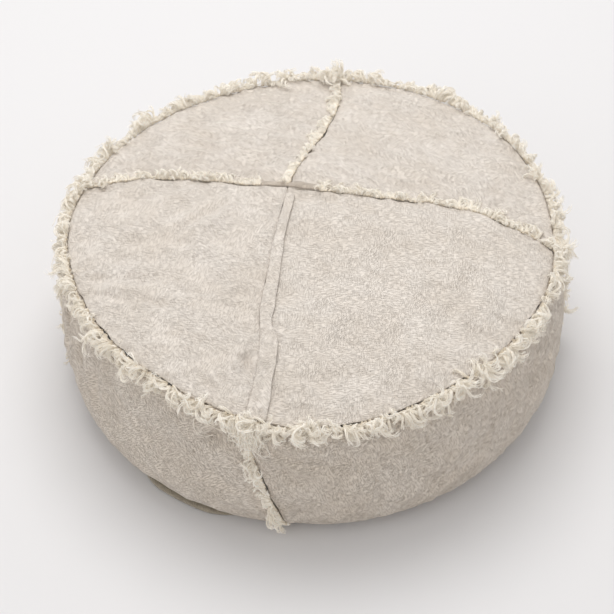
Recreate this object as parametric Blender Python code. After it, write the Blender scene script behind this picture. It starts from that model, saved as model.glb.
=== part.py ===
"""Round patchwork floor cushion.

A four-quarter top, a four-panel side band and a zipped two-piece base, sewn with their raw seam
allowances outside, over a liner and a fibre filling. Metres, +Z up. The origin is on the floor
under the middle of the cushion, and its front faces -Y. Azimuths are in degrees from +X towards +Y.
"""

import math

import bmesh
import bpy
from mathutils import Vector

# Overall shape
RIM_RADIUS = 0.295  # where the top is sewn to the side band
RIM_HEIGHT = 0.195
CROWN_RISE = 0.018  # middle of the top above the rim
CROWN_POWER = 2.6  # a higher power gives a flatter middle and a steeper shoulder
SIDE_SWELL = 0.015  # how far the side band bulges past the rim
BULGE_HEIGHT = 0.085  # where it is widest
BASE_TUCK = 0.023  # how far in from the rim the side band is sewn to the base
CORNER_POWER = 2.4  # squareness of the side band's lower corner

# Cloth and fits
CLOTH = 0.0012
LINER_CLOTH = 0.0008
GAP = 0.0003  # between pieces that touch
FRAY_CLOTH = 0.0012  # the raw allowance that stands in a seam
SEAM_HALF = FRAY_CLOTH / 2 + GAP  # from a seam's middle to the edge of the panel beside it
THREAD_RADIUS = 0.0005

# Seams of the top, as shares of the rim's radius, from the crossing out. The last point is on the rim.
CROSSING = (-0.10, 0.24)
TOP_SEAMS = {
    "right": ([(0.25, 0.18), (0.51, 0.135), (0.75, 0.065)], 354),
    "back": ([(-0.03, 0.41), (0.035, 0.525), (0.10, 0.68), (0.135, 0.81)], 82),
    "left": ([(-0.34, 0.28), (-0.68, 0.34)], 162),
    "front": ([(-0.155, -0.02), (-0.20, -0.34), (-0.23, -0.54), (-0.215, -0.68)], 254),
}
AROUND = ["right", "back", "left", "front"]
QUARTERS = ["back_right", "back_left", "front_left", "front_right"]  # each from its seam to the next
# Azimuths of the side seams at the rim, and how far each has turned when it reaches the base.
SIDE_SEAMS = {"right": 354, "back": 82, "left": 180, "front": 254}
SIDE_SEAM_LEAN = 10

# Seam allowances that stand outside
RIM_FRAY = 0.016
RIM_FRAY_LEAN = 25  # degrees outward from upright
TOP_FRAY = 0.010
SIDE_FRAY = 0.012
FRONT_STRIP_NARROW = 0.010  # width of the folded strip at the crossing
FRONT_STRIP_WIDE = 0.024  # and at the rim
FRONT_STRIP_START = 0.014  # from the crossing, clear of the cross seam
BASE_ALLOWANCE = 0.010
LIP = 0.012  # what the allowance adds where it peeks out
LIP_MIDDLE = 228
LIP_HALF = 30
FLOOR_CLEARANCE = 0.004  # of the side fray's free edge
CROSSING_CLEARANCE = 0.004  # from the crossing to the end of a fray and the corner of a panel
RIM_CLEARANCE = 0.003  # from the rim to the end of a top seam's fray

# Zip in the base, along X
TAPE_HEIGHT = 0.0065  # underside of the tape above the floor
TAPE_CLOTH = 0.0008
TAPE_OUTER = 0.012
TAPE_INSET = 0.067  # from the base seam to the end of the tape
TAPE_TAIL = 0.025  # tape beyond the coil at each end
COIL_SLOT = 0.0016  # between the two coils, where the slider's post runs
COIL_WIDTH = 0.0022
COIL_DEPTH = 0.0018
RECESS_INSET = 0.050  # from the base seam to the end of the recess
RECESS_SLOPE = 0.013
FLANGE_INNER = 0.006  # inner edge of the cover's flange that carries the tape
FLANGE_OUTER = 0.013
RECESS_FOOT = 0.020  # where the recess meets the floor
SLIDER_LENGTH = 0.011
SLIDER_PLATE = 0.0010
SLIDER_LIP = 0.0010
SLIDER_CLEARANCE = 0.0004
STOP_LENGTH = 0.003
BRIDGE_WIDTH = 0.0016
BRIDGE_BAR = 0.0008
BRIDGE_EYE = 0.0020
PULL_LENGTH = 0.024
PULL_WIDTH = 0.006
PULL_CLOTH = 0.0012
PULL_BAR = 0.0010
PULL_WINDOW = 0.0032
GROOVE_CLEARANCE = 0.0007  # from the slider to the liner over it
GROOVE_HALF = 0.014
GROOVE_SLOPE = 0.008

ROUND_STEPS = 40
CROWN_STEPS = 7
SIDE_STEPS = 6

# Heights and sizes that follow
BULGE_RADIUS = RIM_RADIUS + SIDE_SWELL
BASE_RADIUS = RIM_RADIUS - BASE_TUCK
# How far a flat facet cuts into the round side band, with half as much again for the leaning ones.
FACET = 1.5 * BULGE_RADIUS * (1 - math.cos(math.pi / ROUND_STEPS))
SIDE_BOTTOM = GAP + FRAY_CLOTH + GAP  # the side band's lower edge rests on the base allowance
LINER_DEPTH = CLOTH + GAP + FACET
FILLING_DEPTH = LINER_DEPTH + LINER_CLOTH + GAP
SIDE_TOP = RIM_HEIGHT - CLOTH - GAP  # the side band ends under the rim fray
TAPE_END = BASE_RADIUS - TAPE_INSET
COIL_END = TAPE_END - TAPE_TAIL
RECESS_END = BASE_RADIUS - RECESS_INSET
FLANGE_HEIGHT = TAPE_HEIGHT - GAP - CLOTH
COIL_BOTTOM = TAPE_HEIGHT + TAPE_CLOTH + GAP
COIL_OUTER = COIL_SLOT / 2 + COIL_WIDTH
SLIDER_BOTTOM = TAPE_HEIGHT - SLIDER_CLEARANCE - SLIDER_PLATE
SLIDER_TOP = COIL_BOTTOM + COIL_DEPTH + SLIDER_CLEARANCE + SLIDER_PLATE
SLIDER_REST = COIL_END - SLIDER_LENGTH / 2 - SLIDER_CLEARANCE
PULL_AXIS_HEIGHT = SLIDER_BOTTOM - BRIDGE_EYE / 2
GROOVE_HEIGHT = SLIDER_TOP + GROOVE_CLEARANCE

COLOURS = {
    "cover_cloth": ((0.62, 0.56, 0.49), 0.92, 0.0),
    "fray": ((0.74, 0.69, 0.60), 0.95, 0.0),
    "thread": ((0.66, 0.61, 0.52), 0.70, 0.0),
    "liner_cloth": ((0.80, 0.78, 0.74), 0.90, 0.0),
    "filling": ((0.90, 0.90, 0.88), 0.95, 0.0),
    "zip_tape": ((0.50, 0.45, 0.38), 0.85, 0.0),
    "zip_coil": ((0.55, 0.50, 0.43), 0.45, 0.0),
    "zip_metal": ((0.55, 0.54, 0.52), 0.35, 1.0),
}


def clear_scene():
    for thing in list(bpy.data.objects):
        bpy.data.objects.remove(thing, do_unlink=True)


def make_materials():
    made = {}
    for name, (colour, roughness, metallic) in COLOURS.items():
        material = bpy.data.materials.new(name)
        material.use_nodes = True
        shader = material.node_tree.nodes["Principled BSDF"]
        shader.inputs["Base Color"].default_value = (*colour, 1.0)
        shader.inputs["Roughness"].default_value = roughness
        shader.inputs["Metallic"].default_value = metallic
        material.diffuse_color = (*colour, 1.0)
        made[name] = material
    return made


def add_object(name, data, material, parent=None):
    thing = bpy.data.objects.new(name, data)
    data.materials.append(material)
    bpy.context.scene.collection.objects.link(thing)
    thing.parent = parent
    return thing


def add_surface(name, rows, material, thickness, offset, around=False, first_cap=False, last_cap=False):
    """An object from rows of points, thickened by Solidify; offset is -1 for inward, 1 for outward."""
    count = len(rows[0])
    points = [point for row in rows for point in row]
    columns = count if around else count - 1
    faces = []
    for i in range(len(rows) - 1):
        for j in range(columns):
            k = (j + 1) % count
            faces.append((i * count + j, (i + 1) * count + j, (i + 1) * count + k, i * count + k))
    last = (len(rows) - 1) * count
    if first_cap:
        faces.append(tuple(range(count)))
    if last_cap:
        faces.append(tuple(last + j for j in reversed(range(count))))
    mesh = bpy.data.meshes.new(name)
    mesh.from_pydata(points, [], faces)
    mesh.shade_smooth()
    mesh.set_sharp_from_angle(angle=math.radians(40))
    thing = add_object(name, mesh, material)
    if thickness:
        solidify = thing.modifiers.new("cloth thickness", "SOLIDIFY")
        solidify.thickness = thickness
        solidify.offset = offset
        solidify.use_even_offset = True
    return thing


def add_thread(name, points, material, closed=False):
    curve = bpy.data.curves.new(name, "CURVE")
    curve.dimensions = "3D"
    curve.bevel_depth = THREAD_RADIUS
    curve.bevel_resolution = 0
    curve.use_fill_caps = True
    spline = curve.splines.new("POLY")
    spline.points.add(len(points) - 1)
    spline.use_cyclic_u = closed
    for spline_point, point in zip(spline.points, points):
        spline_point.co = (*point, 1.0)
    return add_object(name, curve, material)


def add_box(name, low, high, material, bevel=0.0002):
    """A box between two corners, with its edges slightly rounded."""
    mesh = bpy.data.meshes.new(name)
    shape = bmesh.new()
    bmesh.ops.create_cube(shape, size=1.0)
    for corner in shape.verts:
        corner.co = Vector([(a + b) / 2 + c * (b - a) for a, b, c in zip(low, high, corner.co)])
    if bevel:
        bmesh.ops.bevel(shape, geom=shape.edges[:], offset=bevel, segments=1, affect="EDGES")
    shape.to_mesh(mesh)
    shape.free()
    return add_object(name, mesh, material)


def add_cutter(name, low, high, material):
    cutter = add_box(name, low, high, material, bevel=0)
    cutter.hide_render = True
    cutter.display_type = "WIRE"
    return cutter


def add_boolean(thing, other, operation):
    boolean = thing.modifiers.new(other.name, "BOOLEAN")
    boolean.operation = operation
    boolean.object = other


def smooth_path(points, steps=8):
    """Points of a Catmull-Rom curve through the given ones."""
    ends = [2 * points[0] - points[1]] + points + [2 * points[-1] - points[-2]]
    path = []
    for a, b, c, d in zip(ends, ends[1:], ends[2:], ends[3:]):
        for step in range(steps):
            t = step / steps
            bend = (2 * a - 5 * b + 4 * c - d) * t**2
            twist = (3 * b - a - 3 * c + d) * t**3
            path.append(0.5 * (2 * b + (c - a) * t + bend + twist))
    return path + [points[-1]]


def stations(path, start):
    """Evenly spaced points along a path from a distance to its end, with the directions halfway there."""
    reach = [0.0]
    for a, b in zip(path, path[1:]):
        reach.append(reach[-1] + (b - a).length)
    points = []
    for step in range(CROWN_STEPS + 1):
        wanted = start + (reach[-1] - start) * step / CROWN_STEPS
        index = max(i for i in range(len(path) - 1) if reach[i] <= wanted)
        along = path[index + 1] - path[index]
        points.append(path[index] + along * (wanted - reach[index]) / along.length)
    found = []
    for i, point in enumerate(points):
        before = (point - points[i - 1]).normalized() if i > 0 else Vector((0, 0))
        after = (points[i + 1] - point).normalized() if i < CROWN_STEPS else Vector((0, 0))
        found.append((point, (before + after).normalized()))
    return found


def polar(radius, azimuth, height):
    return Vector((radius * math.cos(azimuth), radius * math.sin(azimuth), height))


def ring(radius, height):
    return [polar(radius, 2 * math.pi * i / ROUND_STEPS, height) for i in range(ROUND_STEPS)]


def top_height(x, y, depth=0.0):
    share = min(1.0, math.hypot(x, y) / RIM_RADIUS)
    return RIM_HEIGHT + CROWN_RISE * (1 - share**CROWN_POWER) - depth


def on_top(point, depth=0.0):
    return Vector((point.x, point.y, top_height(point.x, point.y, depth)))


def top_seam(name, start=0.0, end=0.0):
    """Stations along a seam of the top, from the crossing to the rim, with an end moved in by a distance."""
    shares, azimuth = TOP_SEAMS[name]
    last = (math.cos(math.radians(azimuth)), math.sin(math.radians(azimuth)))
    path = smooth_path([Vector(share) * RIM_RADIUS for share in [CROSSING, *shares, last]])
    found = stations(path, CROSSING_CLEARANCE)
    if start:
        found[0] = moved_along(found[0], found[1], start)
    if end:
        found[-1] = moved_along(found[-1], found[-2], end)
    return found


def moved_along(place, towards, distance):
    along = (towards[0] - place[0]).normalized()
    forward = along if along.dot(place[1]) > 0 else -along
    return place[0] + along * distance, forward


def steps_over(turn):
    """How many steps an arc takes, none longer than a full turn's share."""
    return math.ceil(turn / (2 * math.pi / ROUND_STEPS) - 1e-6)


def azimuths_between(start, end, full_turn):
    count = steps_over(math.radians(full_turn) % (2 * math.pi))
    turn = (end - start) % (2 * math.pi)
    return [start + turn * j / count for j in range(count + 1)]


def rim_azimuths(seam, next_seam, margin):
    start, end = TOP_SEAMS[seam][1], TOP_SEAMS[next_seam][1]
    return azimuths_between(math.radians(start) + margin, math.radians(end) - margin, end - start)


def at_radius(place, distance, radius):
    """Where the line beside the end of a path meets a radius."""
    point, along = beside(place, distance), place[1]
    back = point.dot(along)
    return point + along * (math.sqrt(back**2 - point.length_squared + radius**2) - back)


def beside(place, distance):
    """A point to the left of a path, or to its right where distance is negative."""
    point, along = place
    return point + Vector((-along.y, along.x)) * distance


def side_profile(depth=0.0, top=SIDE_TOP):
    """(radius, height) of the side band from top to bottom, moved in by a depth."""
    outer = []
    rim_radius = RIM_RADIUS + FRAY_CLOTH / 2
    for step in range(SIDE_STEPS // 2):
        height = top + (BULGE_HEIGHT - top) * step / (SIDE_STEPS // 2)
        share = (height - BULGE_HEIGHT) / (SIDE_TOP - BULGE_HEIGHT)
        outer.append((rim_radius + (BULGE_RADIUS - rim_radius) * (1 - share**2), height))
    bottom_radius = BASE_RADIUS + SEAM_HALF + FACET
    for step in range(SIDE_STEPS + 1):
        turn = math.pi / 2 * step / SIDE_STEPS
        across = math.cos(turn) ** (2 / CORNER_POWER) if step < SIDE_STEPS else 0.0
        down = math.sin(turn) ** (2 / CORNER_POWER)
        radius = bottom_radius + (BULGE_RADIUS - bottom_radius) * across
        outer.append((radius, BULGE_HEIGHT + (SIDE_BOTTOM - BULGE_HEIGHT) * down))
    normals = []
    for i in range(len(outer)):
        before = outer[max(i - 1, 0)]
        after = outer[min(i + 1, len(outer) - 1)]
        along = Vector((after[0] - before[0], after[1] - before[1])).normalized()
        normals.append(Vector((-along.y, along.x)))
    normals[-1] = Vector((0, -1))
    return [(Vector(point) - normal * depth, normal) for point, normal in zip(outer, normals)]


def side_seam_azimuth(name, height):
    return math.radians(SIDE_SEAMS[name] + SIDE_SEAM_LEAN * (1 - height / RIM_HEIGHT))


def make_top_panel(name, seam, next_seam, material):
    """A quarter between two seams: the seams' own curves near the crossing, eased onto the rim."""
    radius = RIM_RADIUS - SEAM_HALF
    first = [beside(place, SEAM_HALF) for place in top_seam(seam)]
    second = [beside(place, -SEAM_HALF) for place in top_seam(next_seam)]
    first[-1] = at_radius(top_seam(seam)[-1], SEAM_HALF, radius)
    second[-1] = at_radius(top_seam(next_seam)[-1], -SEAM_HALF, radius)
    start, end = math.atan2(first[-1].y, first[-1].x), math.atan2(second[-1].y, second[-1].x)
    azimuths = azimuths_between(start, end, TOP_SEAMS[next_seam][1] - TOP_SEAMS[seam][1])
    on_rim = [polar(radius, azimuth, 0).to_2d() for azimuth in azimuths]
    points = []
    for i in range(CROWN_STEPS + 1):
        ease = (i / CROWN_STEPS) ** 2
        row = []
        for j, rim_point in enumerate(on_rim):
            share = j / (len(on_rim) - 1)
            straight = first[i].lerp(second[i], share)
            chord = first[-1].lerp(second[-1], share)
            row.append(on_top(straight + (rim_point - chord) * ease))
        points.append(row)
    return add_surface(name, points, material, CLOTH, -1)


def make_side_panel(name, seam, next_seam, material):
    rows = []
    for (radius, height), _ in side_profile():
        start = side_seam_azimuth(seam, height) + SEAM_HALF / radius
        end = side_seam_azimuth(next_seam, height) - SEAM_HALF / radius
        azimuths = azimuths_between(start, end, SIDE_SEAMS[next_seam] - SIDE_SEAMS[seam])
        rows.append([polar(radius, azimuth, height) for azimuth in azimuths])
    return add_surface(name, rows, material, CLOTH, -1)


def round_edge(corners, radius, x):
    """Depth of a half disc at x, measured to the facet between two corners of its edge."""
    corners = [(0.0, radius), *corners]
    for (x0, y0), (x1, y1) in zip(corners, corners[1:]):
        if x0 <= x <= x1 + GAP / 100:
            return y0 + (y1 - y0) * (x - x0) / (x1 - x0)
    return corners[-1][1]


def make_base_panel(name, side, material):
    """A half disc on the floor, side -1 at the front and 1 at the back, raised to a flange along the zip."""
    radius = BASE_RADIUS - SEAM_HALF
    raised_end = RECESS_END - RECESS_SLOPE
    turns = [2 * math.pi * k / ROUND_STEPS for k in range(1, ROUND_STEPS // 4)]
    corners = [(radius * math.sin(turn), radius * math.cos(turn)) for turn in turns]
    half = sorted([x for x, _ in corners] + [RECESS_END, raised_end])
    columns = [-x for x in reversed(half)] + [0.0] + half
    inner = [FLANGE_INNER, FLANGE_OUTER, RECESS_FOOT]
    rows = [[] for _ in range(6)]
    for x in columns:
        arc = round_edge(corners, radius, abs(x))
        raised = min(1.0, max(0.0, (RECESS_END - abs(x)) / RECESS_SLOPE))
        edge = GAP / 2 + (inner[0] - GAP / 2) * raised
        across = [edge, min(inner[1], 0.2 * arc), min(inner[2], 0.4 * arc)]
        across += [across[2] + (arc - across[2]) * share for share in (0.35, 0.7, 1.0)]
        lift = [FLANGE_HEIGHT * raised, FLANGE_HEIGHT * raised, 0, 0, 0, 0]
        for row, distance, height in zip(rows, across, lift):
            row.append(Vector((x, side * distance, height)))
    return add_surface(name, rows, material, CLOTH, -side)


def make_rim_fray(name, seam, next_seam, material):
    """The rim's raw allowance over one quarter: upright in the seam, then leaning outward."""
    lean = math.radians(RIM_FRAY_LEAN)
    section = [
        (RIM_RADIUS, RIM_HEIGHT - CLOTH),
        (RIM_RADIUS, RIM_HEIGHT + GAP),
        (RIM_RADIUS + RIM_FRAY * math.sin(lean), RIM_HEIGHT + RIM_FRAY * math.cos(lean)),
    ]
    steps = rim_azimuths(seam, next_seam, GAP / RIM_RADIUS)
    rows = [[polar(radius, azimuth, height) for azimuth in steps] for radius, height in section]
    return add_surface(name, rows, material, FRAY_CLOTH, 0)


def make_top_fray(name, seam, material):
    places = top_seam(seam, end=RIM_CLEARANCE)
    rows = [[on_top(point, CLOTH) for point, _ in places], [on_top(point, -TOP_FRAY) for point, _ in places]]
    return add_surface(name, rows, material, FRAY_CLOTH, 0)


def make_front_strip(name, material):
    """The front seam's allowance: out of the seam, then folded flat over the front right panel."""
    places = top_seam("front", FRONT_STRIP_START, RIM_CLEARANCE)
    level = GAP + FRAY_CLOTH / 2
    rows = [[], [], []]
    for i, place in enumerate(places):
        share = i / CROWN_STEPS
        width = FRONT_STRIP_NARROW + (FRONT_STRIP_WIDE - FRONT_STRIP_NARROW) * share
        rows[0].append(on_top(place[0], CLOTH))
        rows[1].append(on_top(place[0], -level))
        rows[2].append(on_top(beside(place, width), -level))
    limit = RIM_RADIUS - RIM_CLEARANCE - FACET
    for point in rows[2]:
        flat = point.to_2d()
        if flat.length > limit:
            point.xy = flat.normalized() * limit
            point.z = top_height(point.x, point.y, -level)
    return add_surface(name, rows, material, FRAY_CLOTH, 0)


def make_side_fray(name, seam, material):
    rows = [[], []]
    for (radius, height), normal in side_profile():
        if height < 2 * FLOOR_CLEARANCE:
            break
        azimuth = side_seam_azimuth(seam, height)
        inner = Vector((radius, height)) - normal * CLOTH
        outer = Vector((radius, height)) + normal * SIDE_FRAY
        outer.y = max(outer.y, FLOOR_CLEARANCE)
        rows[0].append(polar(inner.x, azimuth, inner.y))
        rows[1].append(polar(outer.x, azimuth, outer.y))
    return add_surface(name, rows, material, FRAY_CLOTH, 0)


def make_base_allowance(name, material):
    """The base seam's allowance, folded out under the side band, wider where it peeks out."""
    level = GAP + FRAY_CLOTH / 2
    rows = [ring(BASE_RADIUS, SIDE_BOTTOM + CLOTH), ring(BASE_RADIUS, level), []]
    for i in range(ROUND_STEPS):
        azimuth = 360 * i / ROUND_STEPS
        share = max(0.0, 1 - ((azimuth - LIP_MIDDLE) / LIP_HALF) ** 2)
        rows[2].append(polar(BASE_RADIUS + BASE_ALLOWANCE + LIP * share, math.radians(azimuth), level))
    return add_surface(name, rows, material, FRAY_CLOTH, 0, around=True)


def make_threads(material):
    beside_fray = FRAY_CLOTH / 2 + GAP + THREAD_RADIUS
    above = GAP + THREAD_RADIUS
    rim = []
    for seam, next_seam in zip(AROUND, AROUND[1:] + AROUND[:1]):
        azimuths = rim_azimuths(seam, next_seam, 0)[:-1]
        rim += [polar(RIM_RADIUS - beside_fray, azimuth, RIM_HEIGHT + above + GAP) for azimuth in azimuths]
    add_thread("rim_seam_thread", rim, material, closed=True)
    cross = [beside(place, beside_fray) for place in reversed(top_seam("left", end=RIM_CLEARANCE))]
    cross += [beside(place, -beside_fray) for place in top_seam("right", end=RIM_CLEARANCE)]
    add_thread("cross_seam_thread", [on_top(point, -above) for point in cross], material)
    back = top_seam("back", CROSSING_CLEARANCE, RIM_CLEARANCE)
    back = [on_top(beside(place, beside_fray), -above) for place in back]
    add_thread("back_seam_thread", back, material)
    over_strip = above + GAP + FRAY_CLOTH
    front = top_seam("front", FRONT_STRIP_START, RIM_CLEARANCE)
    front = [on_top(beside(place, 2 * beside_fray), -over_strip) for place in front]
    add_thread("front_seam_thread", front, material)
    for seam in SIDE_SEAMS:
        points = []
        for (radius, height), normal in side_profile():
            if height < 2 * FLOOR_CLEARANCE:
                break
            azimuth = side_seam_azimuth(seam, height) + beside_fray / radius
            place = Vector((radius, height)) + normal * (above + GAP)
            points.append(polar(place.x, azimuth, place.y))
        add_thread(f"side_seam_thread_{seam}", points, material)


def groove_ring(half_width, height):
    """The outline of the space over the zip: straight past the recess, with round ends."""
    points = []
    for i in range(ROUND_STEPS):
        turn = 2 * math.pi * i / ROUND_STEPS
        end = math.copysign(RECESS_END, math.cos(turn))
        points.append(Vector((end + half_width * math.cos(turn), half_width * math.sin(turn), height)))
    return points


def crown_rings(depth, edge):
    shares = [0.12, 0.40, 0.62, 0.80, 0.92, 1.0]
    return [ring(edge * share, top_height(edge * share, 0, depth)) for share in shares]


def base_rings(depth):
    """Rings of a sheet over the base panels, from the base seam in to the middle, seen from below."""
    floor = CLOTH + GAP + depth
    seam = SIDE_BOTTOM + CLOTH + GAP + depth
    return [
        ring(BASE_RADIUS - 2 * GAP, seam),
        ring(BASE_RADIUS - BASE_ALLOWANCE, floor),
        groove_ring(GROOVE_HALF + GROOVE_SLOPE, floor),
        groove_ring(GROOVE_HALF, GROOVE_HEIGHT + depth),
    ]


def make_inside(liner, filling):
    edge = RIM_RADIUS + FRAY_CLOTH / 2 - LINER_DEPTH
    add_surface("liner_top", crown_rings(LINER_DEPTH, edge), liner, LINER_CLOTH, -1, True, first_cap=True)
    side = side_profile(LINER_DEPTH, RIM_HEIGHT - LINER_DEPTH - LINER_CLOTH - GAP)
    rings = [ring(point.x, point.y) for point, _ in side]
    add_surface("liner_side", rings, liner, LINER_CLOTH, -1, True)
    add_surface("liner_base", base_rings(0), liner, LINER_CLOTH, -1, True, last_cap=True)
    inside = edge - LINER_CLOTH - GAP
    rings = crown_rings(FILLING_DEPTH, inside)
    side = side_profile(FILLING_DEPTH, RIM_HEIGHT - FILLING_DEPTH - GAP)
    rings += [ring(point.x, point.y) for point, _ in side]
    rings += base_rings(LINER_CLOTH + GAP)[1:-2]
    foot = GROOVE_HALF + GROOVE_SLOPE + 2 * LINER_CLOTH
    rings.append(groove_ring(foot, CLOTH + GAP + LINER_CLOTH + GAP))
    rings.append(groove_ring(GROOVE_HALF + 2 * LINER_CLOTH, GROOVE_HEIGHT + LINER_CLOTH + GAP))
    add_surface("fibre_filling", rings, filling, 0, 0, True, first_cap=True, last_cap=True)


def make_zip_halves(tape, coil, metal):
    for name, side in (("front", -1), ("back", 1)):
        inner = side * COIL_SLOT / 2
        across = sorted((inner, side * TAPE_OUTER))
        low = (-TAPE_END, across[0], TAPE_HEIGHT)
        high = (TAPE_END, across[1], TAPE_HEIGHT + TAPE_CLOTH)
        add_box(f"zip_tape_{name}", low, high, tape)
        across = sorted((inner, side * COIL_OUTER))
        low = (-COIL_END, across[0], COIL_BOTTOM)
        high = (COIL_END, across[1], COIL_BOTTOM + COIL_DEPTH)
        add_box(f"zip_coil_{name}", low, high, coil, bevel=0.0004)
        low = (COIL_END + GAP, across[0], COIL_BOTTOM)
        high = (COIL_END + GAP + STOP_LENGTH, across[1], COIL_BOTTOM + COIL_DEPTH)
        add_box(f"zip_top_stop_{name}", low, high, metal)
    low = (-COIL_END - GAP - STOP_LENGTH, -COIL_OUTER, COIL_BOTTOM)
    high = (-COIL_END - GAP, COIL_OUTER, COIL_BOTTOM + COIL_DEPTH)
    add_box("zip_bottom_stop", low, high, metal)


def make_slider(metal):
    """Two plates on a post that runs between the coils, with lips beside them and a bridge under them."""
    post = COIL_SLOT / 2 - GAP
    lip_inner = COIL_OUTER + SLIDER_CLEARANCE
    lip_outer = lip_inner + SLIDER_LIP
    plate_low = SLIDER_BOTTOM + SLIDER_PLATE
    plate_high = SLIDER_TOP - SLIDER_PLATE
    lip_low = TAPE_HEIGHT + TAPE_CLOTH + SLIDER_CLEARANCE
    half = [
        (lip_outer, SLIDER_BOTTOM),
        (lip_outer, plate_low),
        (post, plate_low),
        (post, plate_high),
        (lip_inner, plate_high),
        (lip_inner, lip_low),
        (lip_outer, lip_low),
        (lip_outer, SLIDER_TOP),
    ]
    outline = half + [(-y, z) for y, z in reversed(half)]
    mesh = bpy.data.meshes.new("zip_slider")
    shape = bmesh.new()
    corners = [shape.verts.new((-SLIDER_LENGTH / 2, y, z)) for y, z in outline]
    face = shape.faces.new(corners)
    grown = bmesh.ops.extrude_face_region(shape, geom=[face])["geom"]
    moved = [part for part in grown if isinstance(part, bmesh.types.BMVert)]
    bmesh.ops.translate(shape, verts=moved, vec=(SLIDER_LENGTH, 0, 0))
    bmesh.ops.recalc_face_normals(shape, faces=shape.faces[:])
    shape.to_mesh(mesh)
    shape.free()
    slider = add_object("zip_slider", mesh, metal)
    slider.location = (SLIDER_REST, 0, 0)
    reach = BRIDGE_EYE / 2 + BRIDGE_BAR
    low = (SLIDER_REST - reach, -BRIDGE_WIDTH / 2, PULL_AXIS_HEIGHT - reach)
    high = (SLIDER_REST + reach, BRIDGE_WIDTH / 2, SLIDER_BOTTOM + SLIDER_PLATE / 2)
    bridge = add_cutter("bridge_block", low, high, metal)
    eye = BRIDGE_EYE / 2
    low = (SLIDER_REST - eye, -BRIDGE_WIDTH, PULL_AXIS_HEIGHT - eye)
    high = (SLIDER_REST + eye, BRIDGE_WIDTH, PULL_AXIS_HEIGHT + eye)
    hole = add_cutter("bridge_eye", low, high, metal)
    add_boolean(bridge, hole, "DIFFERENCE")
    add_boolean(slider, bridge, "UNION")


def make_pull(metal):
    """A flat tab under the slider, whose end bar turns in the bridge's eye. Its origin is on that bar."""
    axis = bpy.data.objects.new("pull_axis", None)
    axis.location = (SLIDER_REST, 0, PULL_AXIS_HEIGHT)
    bpy.context.scene.collection.objects.link(axis)
    low = (-PULL_LENGTH, -PULL_WIDTH / 2, -PULL_CLOTH / 2)
    high = (PULL_BAR / 2, PULL_WIDTH / 2, PULL_CLOTH / 2)
    pull = add_box("zip_pull", low, high, metal, bevel=0.0002)
    pull.parent = axis
    window = BRIDGE_WIDTH / 2 + SLIDER_CLEARANCE
    low = (-PULL_BAR / 2 - PULL_WINDOW, -window, -PULL_CLOTH)
    high = (-PULL_BAR / 2, window, PULL_CLOTH)
    cutter = add_cutter("pull_window", low, high, metal)
    cutter.parent = axis
    add_boolean(pull, cutter, "DIFFERENCE")


def build():
    clear_scene()
    made = make_materials()
    cover, fray, thread = made["cover_cloth"], made["fray"], made["thread"]
    for quarter, seam, next_seam in zip(QUARTERS, AROUND, AROUND[1:] + AROUND[:1]):
        make_top_panel(f"top_panel_{quarter}", seam, next_seam, cover)
        make_side_panel(f"side_panel_{quarter}", seam, next_seam, cover)
        make_rim_fray(f"rim_fray_{quarter}", seam, next_seam, fray)
        make_side_fray(f"side_seam_fray_{seam}", seam, fray)
    make_base_panel("base_panel_front", -1, cover)
    make_base_panel("base_panel_back", 1, cover)
    make_top_fray("cross_seam_fray_left", "left", fray)
    make_top_fray("cross_seam_fray_right", "right", fray)
    make_top_fray("back_seam_fray", "back", fray)
    make_front_strip("front_seam_allowance", cover)
    make_base_allowance("base_seam_allowance", cover)
    make_threads(thread)
    make_inside(made["liner_cloth"], made["filling"])
    make_zip_halves(made["zip_tape"], made["zip_coil"], made["zip_metal"])
    make_slider(made["zip_metal"])
    make_pull(made["zip_metal"])


build()
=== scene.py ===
import math

import bpy
import numpy as np
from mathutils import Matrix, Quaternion, Vector, noise
from mathutils.bvhtree import BVHTree
from mathutils.geometry import delaunay_2d_cdt


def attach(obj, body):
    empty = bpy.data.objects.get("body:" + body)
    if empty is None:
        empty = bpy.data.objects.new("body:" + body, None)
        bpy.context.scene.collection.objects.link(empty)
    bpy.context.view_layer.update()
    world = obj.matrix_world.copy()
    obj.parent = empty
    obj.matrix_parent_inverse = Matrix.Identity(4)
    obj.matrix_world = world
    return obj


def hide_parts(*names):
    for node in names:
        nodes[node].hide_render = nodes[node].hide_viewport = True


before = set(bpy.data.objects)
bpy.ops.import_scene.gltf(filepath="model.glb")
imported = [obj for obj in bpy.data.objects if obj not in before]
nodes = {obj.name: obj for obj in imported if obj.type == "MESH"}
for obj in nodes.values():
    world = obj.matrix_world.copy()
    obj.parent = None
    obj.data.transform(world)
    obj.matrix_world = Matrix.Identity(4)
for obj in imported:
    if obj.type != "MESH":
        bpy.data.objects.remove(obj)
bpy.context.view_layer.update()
scene = bpy.context.scene
print("frame loaded,", len(nodes), "nodes")


# the shape is read from the frame's own panels and threads
def nodePoints(*names):
    found = []
    for name in names:
        mesh = nodes[name].data
        flat = np.empty(len(mesh.vertices) * 3)
        mesh.vertices.foreach_get("co", flat)
        found.append(flat.reshape(-1, 3))
    return np.vstack(found)


quarters = ["back_right", "back_left", "front_left", "front_right"]
around = ["right", "back", "left", "front"]  # each quarter runs from its seam to the next

cloth = {
    "thick": 0.0012,
    "seamHalf": 0.0009,  # from a seam's middle to the fold beside it
    "spacing": 0.0048,  # of the mesh before its subdivision
}

topPoints = nodePoints(*["top_panel_" + q for q in quarters])
sidePoints = nodePoints(*["side_panel_" + q for q in quarters])
basePoints = nodePoints("base_panel_front", "base_panel_back")
sideReach = np.hypot(sidePoints[:, 0], sidePoints[:, 1])

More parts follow.
